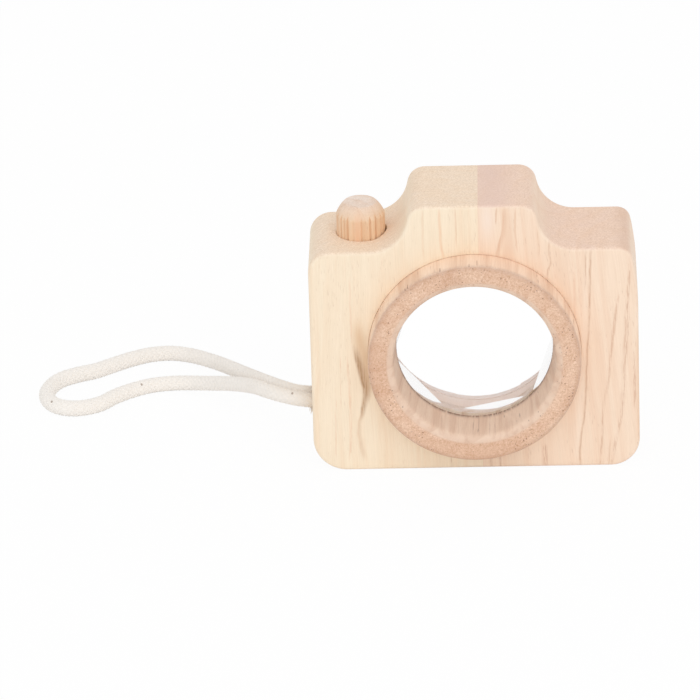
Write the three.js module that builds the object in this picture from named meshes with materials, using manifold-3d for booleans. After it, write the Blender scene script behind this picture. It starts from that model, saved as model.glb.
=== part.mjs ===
// Wooden toy camera with a turning kaleidoscope lens, in millimetres.
// It stands on z = 0 and looks towards -y. The origin is under the middle of its box, without the cord.
import * as THREE from 'three';
import { mergeVertices } from 'three/addons/utils/BufferGeometryUtils.js';
import Module from 'manifold-3d';

// Turning barrel
const BARREL_DIAMETER = 58.4;
const BARREL_WALL = 6.7;
const BORE_NARROWING = 0.6;
const BARREL_PROUD = 8.1;
const BARREL_OUTER_EDGE = 0.8;
const BARREL_INNER_EDGE = 1.6;
const FLANGE_LIP = 2;
const FLANGE_THICKNESS = 3;

// Body block, as wood round the barrel's bore
const BODY_THICKNESS = 29;
const WOOD_UNDER_BORE = 5.9;
const WOOD_BESIDE_BORE = 15.5;
const WOOD_OVER_BORE = 0.9;
const HUMP_RISE = 13.2;
const HUMP_TOP_WIDTH = 33.4;
const HUMP_FLANK_SPREAD = 3.2;
const HUMP_CORNER = 4.9;
const HUMP_FILLET = 10.5;
const LEFT_BOTTOM_CORNER = 9.3;
const RIGHT_BOTTOM_CORNER = 8;
const LEFT_SHOULDER_CORNER = 6.2;
const RIGHT_SHOULDER_CORNER = 3.8;
const RIGHT_SIDE_RADIUS = 60;
const RIGHT_SIDE_CURVE_HEIGHT = 18;
const EDGE_ROUND = 1;
const GLUE_LINE = 1.7;

// Lens and the rings that hold lens and barrel
const LENS_FROM_REAR = 20.65;
const LENS_THICKNESS = 8;
const LENS_FACETS = 6;
const LENS_TABLE_RADIUS = 7;
const LENS_INNER_ANGLE = THREE.MathUtils.degToRad(6);
const LENS_RIM_WIDTH = 1;
const LENS_RIM_ANGLE = THREE.MathUtils.degToRad(32);
const LENS_TURN = THREE.MathUtils.degToRad(18.5);
const LENS_SEAT_STEP = 1.8;
const LENS_RING_WIDTH = 1.6;
const LENS_RING_LENGTH = 4;
const EYEPIECE_RING_WIDTH = 7.1;
const EYEPIECE_RING_THICKNESS = 3.4;
const EYEPIECE_EDGE = 1.2;

// Shutter button, its spring and its pin
const BUTTON_DIAMETER = 13.4;
const BUTTON_BESIDE_BARREL = 1.4;
const BUTTON_SIDE_HEIGHT = 5.5;
const BUTTON_BEVEL_HEIGHT = 3.5;
const BUTTON_BEVEL_BULGE = 0.35;
const BUTTON_FLAT_RADIUS = 4.45;
const BUTTON_TRAVEL = 2.5;
const BUTTON_FLOOR_GAP = 0.5;
const BUTTON_FLOOR_WALL = 1.8;
const BUTTON_FOOT_CHAMFER = 0.5;
const FLUTE_COUNT = 20;
const FLUTE_DEPTH = 0.4;
const FLUTE_SHARE = 0.4;
const PIN_DIAMETER = 1.8;
const PIN_REACH = 2;
const PIN_SINK = 0.3;
const SLOT_FOOT = 1;
const SPRING_RADIUS = 2.6;
const SPRING_WIRE = 0.5;
const SPRING_TURNS = 5;
const SPRING_POCKET_DEPTH = 4.2;

// Wrist cord and its hole in the left side
const CORD_DIAMETER = 4;
const CORD_SPACING = 4.5;
const CORD_HOLE_HEIGHT = 15.9;
const CORD_HOLE_DEPTH = 14;

// Fits
const RUNNING_GAP = 0.3;
const SEAT_GAP = 0.2;
const BUTTON_GAP = 0.3;
const SLOT_GAP = 0.15;

// Facets of round forms
const ROUND_SIDES = 72;
const SMALL_ROUND_SIDES = 24;
const CORNER_STEPS = 4;
const EDGE_STEPS = 3;
const CUT_OVERRUN = 5;

// Places that follow from the sizes
const barrelRadius = BARREL_DIAMETER / 2;
const barrelBore = barrelRadius - BARREL_WALL;
const bodyBore = barrelRadius + RUNNING_GAP;
const axisHeight = WOOD_UNDER_BORE + bodyBore;
const halfWidth = bodyBore + WOOD_BESIDE_BORE;
const shoulderHeight = axisHeight + bodyBore + WOOD_OVER_BORE;
const humpHeight = shoulderHeight + HUMP_RISE;
const barrelFront = -(BODY_THICKNESS + BARREL_PROUD) / 2;
const bodyFront = barrelFront + BARREL_PROUD;
const bodyBack = bodyFront + BODY_THICKNESS;
const bodyMiddle = (bodyFront + bodyBack) / 2;
const counterbore = barrelRadius + FLANGE_LIP + RUNNING_GAP;
const counterboreDepth = FLANGE_THICKNESS + 2 * RUNNING_GAP + EYEPIECE_RING_THICKNESS;
const barrelLength = BARREL_PROUD + BODY_THICKNESS - EYEPIECE_RING_THICKNESS - RUNNING_GAP;
const lensSeat = barrelLength - LENS_FROM_REAR;
const lensOpening = barrelBore - BORE_NARROWING;
const lensBore = barrelBore + LENS_SEAT_STEP;
const lensRadius = lensBore - SEAT_GAP;
const lensRimStart = lensRadius - LENS_RIM_WIDTH;
const buttonRadius = BUTTON_DIAMETER / 2;
const buttonHole = buttonRadius + BUTTON_GAP;
const buttonOffset = barrelRadius + BUTTON_BESIDE_BARREL;
const holeInnerEdge = buttonOffset - buttonHole;
const holeFloor = axisHeight + Math.sqrt((bodyBore + BUTTON_FLOOR_WALL) ** 2 - holeInnerEdge ** 2);
const buttonFoot = holeFloor + BUTTON_FLOOR_GAP + BUTTON_TRAVEL;
const pinRadius = PIN_DIAMETER / 2;
const pinHeight = buttonFoot + SLOT_FOOT + SLOT_GAP + pinRadius;
const pinTip = bodyMiddle + buttonRadius - PIN_REACH;
const cordHole = (CORD_SPACING + CORD_DIAMETER) / 2 + RUNNING_GAP;

// Points along the cord's middle, from one end in the hole round the loop to the other end
const CORD_ROUTE = [
  [-33.0, 1.8, 15.9], [-39.0, 1.8, 15.9], [-44.6, 1.8, 15.9], [-50.0, 2.9, 16.1], [-54.8, 5.9, 16.0],
  [-58.6, 10.4, 15.2], [-61.8, 16.0, 13.7], [-65.9, 23.8, 10.8], [-70.5, 31.1, 7.8], [-75.3, 37.6, 4.9],
  [-80.6, 42.3, 2.9], [-86.4, 44.1, 2.1], [-92.4, 42.9, 2.05], [-98.0, 39.7, 2.05], [-102.2, 36.1, 2.05],
  [-106.7, 31.0, 2.05], [-112.4, 28.6, 2.05], [-117.1, 29.5, 2.05], [-120.4, 32.7, 2.05], [-121.8, 38.2, 2.05],
  [-120.4, 44.4, 2.05], [-117.8, 48.2, 2.05], [-113.7, 51.0, 2.05], [-108.7, 53.4, 2.05], [-104.2, 56.9, 2.05],
  [-99.0, 60.8, 2.05], [-93.4, 63.7, 2.05], [-87.6, 64.5, 2.05], [-82.0, 62.4, 2.2], [-76.8, 57.4, 3.0],
  [-71.8, 49.6, 4.8], [-66.5, 38.7, 7.6], [-61.7, 28.2, 10.5], [-57.2, 19.0, 13.0], [-53.3, 12.3, 14.7],
  [-49.5, 8.0, 15.6], [-44.6, 6.3, 15.9], [-39.0, 6.3, 15.9], [-33.0, 6.3, 15.9],
];
const CORD_SIDES = 8;
const CORD_STEPS = 40;

const wasm = await Module();
wasm.setup();

// A closed geometry as a solid that can be joined and cut
function toSolid(geometry) {
  const bare = geometry.clone();
  bare.deleteAttribute('normal');
  bare.deleteAttribute('uv');
  const merged = mergeVertices(bare);
  const vertProperties = new Float32Array(merged.attributes.position.array);
  const triVerts = new Uint32Array(merged.index.array);
  return new wasm.Manifold(new wasm.Mesh({ numProp: 3, vertProperties, triVerts }));
}

// A solid back as a geometry with flat faces
function toGeometry(solid) {
  const { vertProperties, triVerts } = solid.getMesh();
  const indexed = new THREE.BufferGeometry();
  indexed.setAttribute('position', new THREE.BufferAttribute(vertProperties, 3));
  indexed.setIndex(new THREE.BufferAttribute(triVerts, 1));
  const faceted = indexed.toNonIndexed();
  faceted.computeVertexNormals();
  return faceted;
}

// A round bar along y, from one depth to another
function barAlongY(radius, from, to, sides = ROUND_SIDES) {
  return new THREE.CylinderGeometry(radius, radius, to - from, sides).translate(0, (from + to) / 2, 0);
}

// Points of a quarter round between two directions, given in degrees
function roundEdge(centreX, centreY, radius, fromAngle, toAngle, steps = EDGE_STEPS) {
  const points = [];
  for (let step = 0; step <= steps; step += 1) {
    const angle = THREE.MathUtils.degToRad(fromAngle + ((toAngle - fromAngle) * step) / steps);
    const x = centreX + radius * Math.cos(angle);
    const y = centreY + radius * Math.sin(angle);
    points.push(new THREE.Vector2(x, y));
  }
  return points;
}

// A ring turned about the y axis, from a closed profile of radius and depth
function turnedRing(profile) {
  return new THREE.LatheGeometry([...profile, profile[0]], ROUND_SIDES);
}

function wood(colour) {
  return new THREE.MeshStandardMaterial({ color: colour, roughness: 0.62, metalness: 0 });
}

function named(name, geometry, material) {
  const mesh = new THREE.Mesh(geometry, material);
  mesh.name = name;
  return mesh;
}

// Front view of the block: rounded bottom corners, a right side that curves in towards its shoulder,
// a left shoulder and the hump between its leaning flanks
function bodyOutline() {
  const quarter = Math.PI / 2;
  const topHalf = HUMP_TOP_WIDTH / 2;
  const baseHalf = topHalf + HUMP_FLANK_SPREAD;
  const lean = Math.atan2(HUMP_RISE, HUMP_FLANK_SPREAD);
  const tangent = Math.tan(lean / 2);
  const flank = Math.hypot(HUMP_RISE, HUMP_FLANK_SPREAD);
  const share = Math.min(1, flank / ((HUMP_CORNER + HUMP_FILLET) * tangent));
  const corner = HUMP_CORNER * share;
  const fillet = HUMP_FILLET * share;
  const cornerX = topHalf - corner * tangent;
  const filletX = baseHalf + fillet * tangent;
  const leftCorner = Math.min(LEFT_SHOULDER_CORNER, halfWidth - filletX);
  const rightCorner = RIGHT_SHOULDER_CORNER;
  const sideX = halfWidth - RIGHT_SIDE_RADIUS;
  const sideLean = Math.asin((RIGHT_SIDE_CURVE_HEIGHT - rightCorner) / (RIGHT_SIDE_RADIUS - rightCorner));
  const rightCornerX = sideX + (RIGHT_SIDE_RADIUS - rightCorner) * Math.cos(sideLean);
  const outline = new THREE.Shape();
  outline.moveTo(LEFT_BOTTOM_CORNER - halfWidth, 0);
  outline.absarc(halfWidth - RIGHT_BOTTOM_CORNER, RIGHT_BOTTOM_CORNER, RIGHT_BOTTOM_CORNER, -quarter, 0);
  outline.absarc(sideX, shoulderHeight - RIGHT_SIDE_CURVE_HEIGHT, RIGHT_SIDE_RADIUS, 0, sideLean);
  outline.absarc(rightCornerX, shoulderHeight - rightCorner, rightCorner, sideLean, quarter);
  outline.absarc(filletX, shoulderHeight + fillet, fillet, -quarter, -quarter - lean, true);
  outline.absarc(cornerX, humpHeight - corner, corner, quarter - lean, quarter);
  outline.absarc(-cornerX, humpHeight - corner, corner, quarter, quarter + lean);
  outline.absarc(-filletX, shoulderHeight + fillet, fillet, lean - quarter, -quarter, true);
  outline.absarc(leftCorner - halfWidth, shoulderHeight - leftCorner, leftCorner, quarter, Math.PI);
  outline.absarc(LEFT_BOTTOM_CORNER - halfWidth, LEFT_BOTTOM_CORNER, LEFT_BOTTOM_CORNER, Math.PI, 3 * quarter);
  return outline;
}

// The glued block with its bores, before it is parted at the glue line
function bodyBlock() {
  const block = new THREE.ExtrudeGeometry(bodyOutline(), {
    depth: BODY_THICKNESS - 2 * EDGE_ROUND,
    curveSegments: CORNER_STEPS,
    bevelThickness: EDGE_ROUND,
    bevelSize: EDGE_ROUND,
    bevelOffset: -EDGE_ROUND,
    bevelSegments: EDGE_STEPS,
  });
  block.rotateX(Math.PI / 2).translate(0, bodyBack - EDGE_ROUND, 0);
  const bore = barAlongY(bodyBore, bodyFront - CUT_OVERRUN, bodyBack + CUT_OVERRUN);
  bore.translate(0, 0, axisHeight);
  const rearBore = barAlongY(counterbore, bodyBack - counterboreDepth, bodyBack + CUT_OVERRUN);
  rearBore.translate(0, 0, axisHeight);
  const pressHole = barAlongY(buttonHole, holeFloor, humpHeight).rotateX(Math.PI / 2);
  pressHole.translate(-buttonOffset, bodyMiddle, 0);
  const pinHole = barAlongY(pinRadius + SEAT_GAP, bodyMiddle, bodyBack + CUT_OVERRUN, SMALL_ROUND_SIDES);
  pinHole.translate(-buttonOffset, 0, pinHeight);
  const cordBore = barAlongY(cordHole, -CUT_OVERRUN, CORD_HOLE_DEPTH, SMALL_ROUND_SIDES);
  cordBore.rotateZ(-Math.PI / 2).translate(-halfWidth, bodyMiddle, CORD_HOLE_HEIGHT);
  const cuts = [bore, rearBore, pressHole, pinHole, cordBore];
  return cuts.reduce((solid, cut) => solid.subtract(toSolid(cut)), toSolid(block));
}

// The part of the block between two sides
function boardBetween(block, left, right) {
  const slab = new THREE.BoxGeometry(right - left, BODY_THICKNESS, humpHeight);
  slab.translate((left + right) / 2, bodyMiddle, humpHeight / 2);
  return toGeometry(block.intersect(toSolid(slab)));
}

// Tube with a rear flange, whose bore narrows to the lens and is wider behind the step that the lens seats on
function lensBarrel() {
  const flange = barrelRadius + FLANGE_LIP;
  const flangeFront = barrelLength - FLANGE_THICKNESS;
  return turnedRing([
    ...roundEdge(barrelRadius - BARREL_OUTER_EDGE, BARREL_OUTER_EDGE, BARREL_OUTER_EDGE, -90, 0),
    new THREE.Vector2(barrelRadius, flangeFront),
    new THREE.Vector2(flange, flangeFront),
    new THREE.Vector2(flange, barrelLength),
    new THREE.Vector2(lensBore, barrelLength),
    new THREE.Vector2(lensBore, lensSeat),
    new THREE.Vector2(lensOpening, lensSeat),
    ...roundEdge(barrelBore + BARREL_INNER_EDGE, BARREL_INNER_EDGE, BARREL_INNER_EDGE, 180, 270),
  ]);
}

// Fall of a ring of facets over a reach along one of its edges
function facetFall(reach, angle) {
  return reach * Math.cos(Math.PI / LENS_FACETS) * Math.tan(angle);
}

// Depth of the lens behind its flat front, at a radius along one of its facet edges
function lensDepthAtEdge(radius) {
  const reach = Math.min(radius, lensRimStart) - LENS_TABLE_RADIUS;
  const beyond = Math.max(radius - lensRimStart, 0);
  return LENS_THICKNESS - facetFall(reach, LENS_INNER_ANGLE) - facetFall(beyond, LENS_RIM_ANGLE);
}

// Cone of facets as thick as the lens, with its edges at a radius where the lens has the depth given
function facetCone(radius, depth, angle) {
  const spread = 1 / facetFall(1, angle);
  const rear = radius - (LENS_THICKNESS - depth) * spread;
  const front = radius + depth * spread;
  const cone = new THREE.CylinderGeometry(rear, front, LENS_THICKNESS, LENS_FACETS, 1, false, LENS_TURN);
  return cone.translate(0, LENS_THICKNESS / 2, 0);
}

// Disc whose back has a flat table, a ring of shallow facets round it and a ring of steep facets at the rim
function kaleidoscopeLens() {
  const disc = barAlongY(lensRadius, 0, LENS_THICKNESS);
  const inner = facetCone(LENS_TABLE_RADIUS, LENS_THICKNESS, LENS_INNER_ANGLE);
  const outer = facetCone(lensRimStart, lensDepthAtEdge(lensRimStart), LENS_RIM_ANGLE);
  return toGeometry(toSolid(disc).intersect(toSolid(inner)).intersect(toSolid(outer)));
}

// Plain ring that bears on the facet edges of the lens
function lensRetainingRing() {
  const inner = lensRadius - LENS_RING_WIDTH;
  return turnedRing([
    new THREE.Vector2(lensRadius, 0),
    new THREE.Vector2(lensRadius, LENS_RING_LENGTH),
    new THREE.Vector2(inner, LENS_RING_LENGTH),
    new THREE.Vector2(inner, 0),
  ]);
}

// Flush ring in the back of the body, with an eased inner edge for the eye
function eyepieceRing() {
  const outer = counterbore - SEAT_GAP;
  const inner = outer - EYEPIECE_RING_WIDTH;
  const edgeStart = EYEPIECE_RING_THICKNESS - EYEPIECE_EDGE;
  return turnedRing([
    new THREE.Vector2(outer, 0),
    new THREE.Vector2(outer, EYEPIECE_RING_THICKNESS),
    ...roundEdge(inner + EYEPIECE_EDGE, edgeStart, EYEPIECE_EDGE, 90, 180),
    new THREE.Vector2(inner, 0),
  ]);
}

// Section of the fluted dowel: shallow grooves between broad lands
function flutedSection() {
  const section = new THREE.Shape();
  const pitch = (2 * Math.PI) / FLUTE_COUNT;
  const groove = pitch * FLUTE_SHARE;
  const floor = buttonRadius - FLUTE_DEPTH;
  for (let flute = 0; flute < FLUTE_COUNT; flute += 1) {
    const start = flute * pitch;
    section.absarc(0, 0, buttonRadius, start, start + pitch - groove);
    const middle = start + pitch - groove / 2;
    section.lineTo(floor * Math.cos(middle), floor * Math.sin(middle));
  }
  return section;
}

// Fluted dowel with a bevelled end, a pocket for the spring below and a slot for the pin behind
function shutterButton() {
  const foot = buttonFoot - shoulderHeight;
  const top = BUTTON_SIDE_HEIGHT + BUTTON_BEVEL_HEIGHT;
  const dowel = new THREE.ExtrudeGeometry(flutedSection(), {
    depth: top - foot,
    curveSegments: 1,
    bevelEnabled: false,
  });
  dowel.translate(0, 0, foot);
  const bevelStart = new THREE.Vector2(buttonRadius, BUTTON_SIDE_HEIGHT);
  const bevelEnd = new THREE.Vector2(BUTTON_FLAT_RADIUS, top);
  const bevelPull = bevelStart.clone().lerp(bevelEnd, 0.5).addScalar(BUTTON_BEVEL_BULGE);
  const bevel = new THREE.QuadraticBezierCurve(bevelStart, bevelPull, bevelEnd);
  const envelope = new THREE.LatheGeometry([
    new THREE.Vector2(0, foot),
    new THREE.Vector2(buttonRadius - BUTTON_FOOT_CHAMFER, foot),
    new THREE.Vector2(buttonRadius, foot + BUTTON_FOOT_CHAMFER),
    ...bevel.getPoints(CORNER_STEPS),
    new THREE.Vector2(0, top),
  ], 2 * FLUTE_COUNT);
  envelope.rotateX(Math.PI / 2);
  const pocketRadius = SPRING_RADIUS + SPRING_WIRE / 2 + BUTTON_GAP;
  const pocket = barAlongY(pocketRadius, foot - CUT_OVERRUN, foot + SPRING_POCKET_DEPTH, SMALL_ROUND_SIDES);
  pocket.rotateX(Math.PI / 2);
  const slotWidth = PIN_DIAMETER + 2 * SLOT_GAP;
  const slotHeight = slotWidth + BUTTON_TRAVEL;
  const slotFloor = buttonRadius - PIN_REACH - RUNNING_GAP;
  const slot = new THREE.BoxGeometry(slotWidth, CUT_OVERRUN, slotHeight);
  slot.translate(0, slotFloor + CUT_OVERRUN / 2, foot + SLOT_FOOT + slotHeight / 2);
  const shaped = toSolid(dowel).intersect(toSolid(envelope));
  return toGeometry(shaped.subtract(toSolid(pocket)).subtract(toSolid(slot)));
}

// Middle line of a coil that climbs along z
class Coil extends THREE.Curve {
  constructor(radius, length, turns) {
    super();
    this.radius = radius;
    this.length = length;
    this.turns = turns;
  }

  getPoint(share, target = new THREE.Vector3()) {
    const angle = 2 * Math.PI * this.turns * share;
    return target.set(this.radius * Math.cos(angle), this.radius * Math.sin(angle), this.length * share);
  }
}

// Round section with few sides, for wire and cord
function roundSection(radius, sides) {
  const section = new THREE.Shape();
  for (let side = 0; side < sides; side += 1) {
    const angle = (2 * Math.PI * side) / sides;
    const x = radius * Math.cos(angle);
    const y = radius * Math.sin(angle);
    if (side === 0) {
      section.moveTo(x, y);
    } else {
      section.lineTo(x, y);
    }
  }
  return section;
}

// Coil of wire between the floor of the hole and the roof of the button's pocket
function buttonSpring() {
  const stepsPerTurn = 8;
  const wireSides = 5;
  const room = buttonFoot + SPRING_POCKET_DEPTH - holeFloor;
  const coil = new Coil(SPRING_RADIUS, room - 2 * SEAT_GAP - SPRING_WIRE, SPRING_TURNS);
  return new THREE.ExtrudeGeometry(roundSection(SPRING_WIRE / 2, wireSides), {
    steps: stepsPerTurn * SPRING_TURNS,
    extrudePath: coil,
  });
}

// Loop of cord along its route
function wristCord() {
  const route = new THREE.CatmullRomCurve3(CORD_ROUTE.map((point) => new THREE.Vector3(...point)));
  return new THREE.ExtrudeGeometry(roundSection(CORD_DIAMETER / 2, CORD_SIDES), {
    steps: CORD_STEPS,
    extrudePath: route,
  });
}

const camera = new THREE.Group();

const block = bodyBlock();
camera.add(named('body_left_board', boardBetween(block, -halfWidth, GLUE_LINE), wood('#f6dfc3')));
camera.add(named('body_right_board', boardBetween(block, GLUE_LINE, halfWidth), wood('#f3d6ba')));

const barrelGroup = new THREE.Group();
barrelGroup.position.set(0, barrelFront, axisHeight);
barrelGroup.add(named('lens_barrel', lensBarrel(), wood('#e2b896')));
const clearPlastic = new THREE.MeshStandardMaterial({
  color: '#f4f8fa', roughness: 0.05, metalness: 0, transparent: true, opacity: 0.25,
});
const lens = named('kaleidoscope_lens', kaleidoscopeLens(), clearPlastic);
lens.position.y = lensSeat;
barrelGroup.add(lens);
const lensRing = named('lens_retaining_ring', lensRetainingRing(), wood('#e0bb98'));
lensRing.position.y = lensSeat + lensDepthAtEdge(lensRadius - LENS_RING_WIDTH) + SEAT_GAP;
barrelGroup.add(lensRing);
camera.add(barrelGroup);

const eyepiece = named('eyepiece_ring', eyepieceRing(), wood('#ecd0b0'));
eyepiece.position.set(0, bodyBack - EYEPIECE_RING_THICKNESS, axisHeight);
camera.add(eyepiece);

const buttonGroup = new THREE.Group();
buttonGroup.position.set(-buttonOffset, bodyMiddle, shoulderHeight);
buttonGroup.add(named('shutter_button', shutterButton(), wood('#e3bd98')));
camera.add(buttonGroup);

const steel = new THREE.MeshStandardMaterial({ color: '#b9bcc0', roughness: 0.35, metalness: 1 });
const spring = named('button_spring', buttonSpring(), steel);
spring.position.set(-buttonOffset, bodyMiddle, holeFloor + SEAT_GAP + SPRING_WIRE / 2);
camera.add(spring);

const pinBar = barAlongY(pinRadius, pinTip, bodyBack - PIN_SINK, SMALL_ROUND_SIDES);
const pin = named('button_pin', pinBar, steel.clone());
pin.position.set(-buttonOffset, 0, pinHeight);
camera.add(pin);

const cotton = new THREE.MeshStandardMaterial({ color: '#f2ebe2', roughness: 0.95, metalness: 0 });
camera.add(named('wrist_cord', wristCord(), cotton));

export default camera;
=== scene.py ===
"""Shapes, finishes, light and view of a wooden toy camera with a turning kaleidoscope lens.

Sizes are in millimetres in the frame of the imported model: x to the right, y from the front to the back, z up.
Meshes are written in metres.
"""

import logging
import math
from dataclasses import dataclass, field
from enum import Enum
from functools import cache
from typing import Any, Callable, Sequence

import bmesh
import bpy
import numpy as np
from mathutils import Matrix
from numpy.typing import NDArray


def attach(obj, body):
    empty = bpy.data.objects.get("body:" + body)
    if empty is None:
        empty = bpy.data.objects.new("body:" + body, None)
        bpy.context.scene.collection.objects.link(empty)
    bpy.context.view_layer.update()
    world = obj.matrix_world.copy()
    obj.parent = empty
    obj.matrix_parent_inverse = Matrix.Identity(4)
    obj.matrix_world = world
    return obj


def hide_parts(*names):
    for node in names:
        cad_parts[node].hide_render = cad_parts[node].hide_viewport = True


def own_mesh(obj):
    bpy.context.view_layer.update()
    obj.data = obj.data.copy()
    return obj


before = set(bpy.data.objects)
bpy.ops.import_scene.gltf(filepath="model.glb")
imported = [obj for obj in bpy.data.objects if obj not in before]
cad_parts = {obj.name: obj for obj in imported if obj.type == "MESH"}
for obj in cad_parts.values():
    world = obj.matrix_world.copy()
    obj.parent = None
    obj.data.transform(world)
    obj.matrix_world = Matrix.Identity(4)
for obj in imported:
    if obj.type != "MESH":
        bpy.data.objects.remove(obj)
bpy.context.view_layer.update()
MM = 0.001
ROUND_POINTS = 8
SPAN_POINTS = 32
MERGE_REACH = 2e-6
SLIVER = 1e-7
LEAST_REACH = 1e-3
Floats = NDArray[np.float64]
Ints = NDArray[np.int64]
Flags = NDArray[np.bool_]
Pair = tuple[float, float]
Triple = tuple[float, float, float]
Quad = tuple[float, float, float, float]
Socket = bpy.types.NodeSocket
Node = bpy.types.Node
Tree = bpy.types.NodeTree
Material = bpy.types.Material
Piece = bpy.types.Object
log = logging.getLogger("toy_camera")


class Body(Enum):
    """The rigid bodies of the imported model."""

    CAMERA = "camera_body"
    BARREL = "turning_barrel"
    BUTTON = "press_button"


class Side(Enum):
    """The two boards of the block, by the sign of x."""

    LEFT = -1
    RIGHT = 1


class Grain(Enum):
    """Direction of the wood's grain in a piece, as the turn in degrees that brings it to the texture's z."""

    UPRIGHT = (0.0, 0.0, 0.0)
    ALONG_BARREL = (90.0, 0.0, 0.0)

    @property
    def direction(self) -> Floats:
        """Unit vector along the grain."""
        return np.array([0.0, 1.0, 0.0]) if self is Grain.ALONG_BARREL else np.array([0.0, 0.0, 1.0])


# Curves and surfaces


def arc(centre: Pair, radius: float, start: float, end: float, steps: int) -> Floats:
    """Points of a circle's arc, centre + radius (cos a, sin a) for angles spread evenly.

    Args:
        centre: Middle of the circle.
        radius: Its radius.
        start: First angle in degrees.
        end: Last angle in degrees.
        steps: Number of steps between them.

    Returns:
        Array of steps + 1 points.
    """
    angle = np.radians(np.linspace(start, end, steps + 1))
    return np.column_stack([centre[0] + radius * np.cos(angle), centre[1] + radius * np.sin(angle)])


def eased_profile(corners: Sequence[Triple], step: float, closed: bool) -> tuple[Floats, Floats]:
    """A polygon whose corners are rounded, with its straight runs divided.

    Each corner's round touches both runs at radius / tan(half the corner's angle) from the corner, and turns
    about the point at radius / sin(half the angle) along the bisector.

    Args:
        corners: Radius, place along the axis and rounding of each corner.
        step: Longest piece of a straight run.
        closed: Whether the last corner runs on to the first.

    Returns:
        The points, and for each the share of its turn that makes it an edge, from 0 to 1.
    """
    spots = np.array([c[:2] for c in corners], float)
    runs: list[tuple[Floats, Floats]] = []
    for k, (_, _, ease) in enumerate(corners):
        spot = spots[k]
        if ease <= 0 or (not closed and k in (0, len(corners) - 1)):
            runs.append((spot[None], np.zeros(1)))
            continue
        ways = (spots[k - 1] - spot, spots[(k + 1) % len(spots)] - spot)
        back, ahead = (way / np.linalg.norm(way) for way in ways)
        half = math.acos(float(np.clip(back @ ahead, -1, 1))) / 2
        middle = spot + (back + ahead) / np.linalg.norm(back + ahead) * ease / math.sin(half)
        ends = [spot + d * ease / math.tan(half) - middle for d in (back, ahead)]
        share = np.linspace(0, 1, ROUND_POINTS)[:, None]
        swing = math.pi - 2 * half
        arm = (np.sin((1 - share) * swing) * ends[0] + np.sin(share * swing) * ends[1]) / math.sin(swing)
        runs.append((middle + arm, np.sin(np.pi * share[:, 0])))
    points, edges = [], []
    for k, (spot, edge) in enumerate(runs):
        points.append(spot)
        edges.append(edge)
        if k + 1 < len(runs) or closed:
            start, end = spot[-1], runs[(k + 1) % len(runs)][0][0]
            count = max(1, math.ceil(float(np.linalg.norm(end - start)) / step))
            inner = np.linspace(0, 1, count + 1)[1:-1, None]
            points.append(start + (end - start) * inner)
            edges.append(np.zeros(len(inner)))
    return np.vstack(points), np.concatenate(edges)


def turned(profile: Floats, centre: Pair, sides: int) -> Floats:
    """Turns a profile about a line along y: point(i, j) is radius i in direction j, at place i along it.

    Args:
        profile: Radius and place along the line of each point.
        centre: The line's x and z.
        sides: Number of directions.

    Returns:
        Grid of points, profile by directions.
    """
    angle = np.linspace(0, 2 * np.pi, sides, endpoint=False)
    across = profile[:, :1] * np.cos(angle) + centre[0]
    up = profile[:, :1] * np.sin(angle) + centre[1]
    return np.stack([across, np.repeat(profile[:, 1:], sides, axis=1), up], axis=-1)


def smooth_line(spots: Floats, step: float) -> Floats:
    """A curve through all the spots, with a point about every step.

    Each span is a cubic whose tangents come from the spots on both sides, weighed by the square roots of
    their distances, so the curve neither loops nor overshoots. It is then divided evenly by length.

    Args:
        spots: Points that the curve passes through.
        step: Distance between points of the result.

    Returns:
        Evenly spaced points.
    """
    ext = np.vstack([2 * spots[0] - spots[1], spots, 2 * spots[-1] - spots[-2]])
    a, b, c, d = (ext[k : len(ext) - 3 + k, None] for k in range(4))
    pairs = ((a, b), (b, c), (c, d))
    ab, bc, cd = (np.sqrt(np.linalg.norm(q - p, axis=-1, keepdims=True)) for p, q in pairs)
    leave = ((b - a) / ab - (c - a) / (ab + bc) + (c - b) / bc) * bc
    reach = ((c - b) / bc - (d - b) / (bc + cd) + (d - c) / cd) * bc
    t = np.linspace(0, 1, SPAN_POINTS, endpoint=False)[:, None]
    span = (2 * t**3 - 3 * t**2 + 1) * b + (t**3 - 2 * t**2 + t) * leave
    span = span + (3 * t**2 - 2 * t**3) * c + (t**3 - t**2) * reach
    dense = np.vstack([span.reshape(-1, 3), spots[-1:]])
    far = np.concatenate([[0.0], np.cumsum(np.linalg.norm(np.diff(dense, axis=0), axis=1))])
    even = np.linspace(0, far[-1], round(far[-1] / step) + 1)
    return np.column_stack([np.interp(even, far, dense[:, k]) for k in range(3)])


def headings(line: Floats) -> Floats:
    """Unit vectors along a line of points."""
    ahead = np.gradient(line, axis=0)
    return ahead / np.linalg.norm(ahead, axis=1, keepdims=True)


def carried_frames(line: Floats) -> tuple[Floats, Floats]:
    """Directions across a line, carried along it without twist.

    The side direction starts level and each next one is the last, less its part along the new heading.

    Args:
        line: Points of the line.

    Returns:
        Side and up directions at each point.
    """
    heading = headings(line)
    side = np.empty_like(line)
    last = np.cross([0.0, 0.0, 1.0], heading[0])
    for k, ahead in enumerate(heading):
        last = last - ahead * (last @ ahead)
        last = last / np.linalg.norm(last)
        side[k] = last
    return side, np.cross(heading, side)


def grid_faces(index: Ints) -> Ints:
    """The four-sided faces between neighbours in a grid of point numbers."""
    return np.stack([index[:-1, :-1], index[1:, :-1], index[1:, 1:], index[:-1, 1:]], axis=-1)


def carry(mesh: bpy.types.Mesh, name: str, domain: str, numbers: Floats) -> None:
    """Writes a number for each point or corner of a mesh under a name."""
    mesh.attributes.new(name, "FLOAT", domain).data.foreach_set("value", numbers.astype(np.float32))


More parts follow.
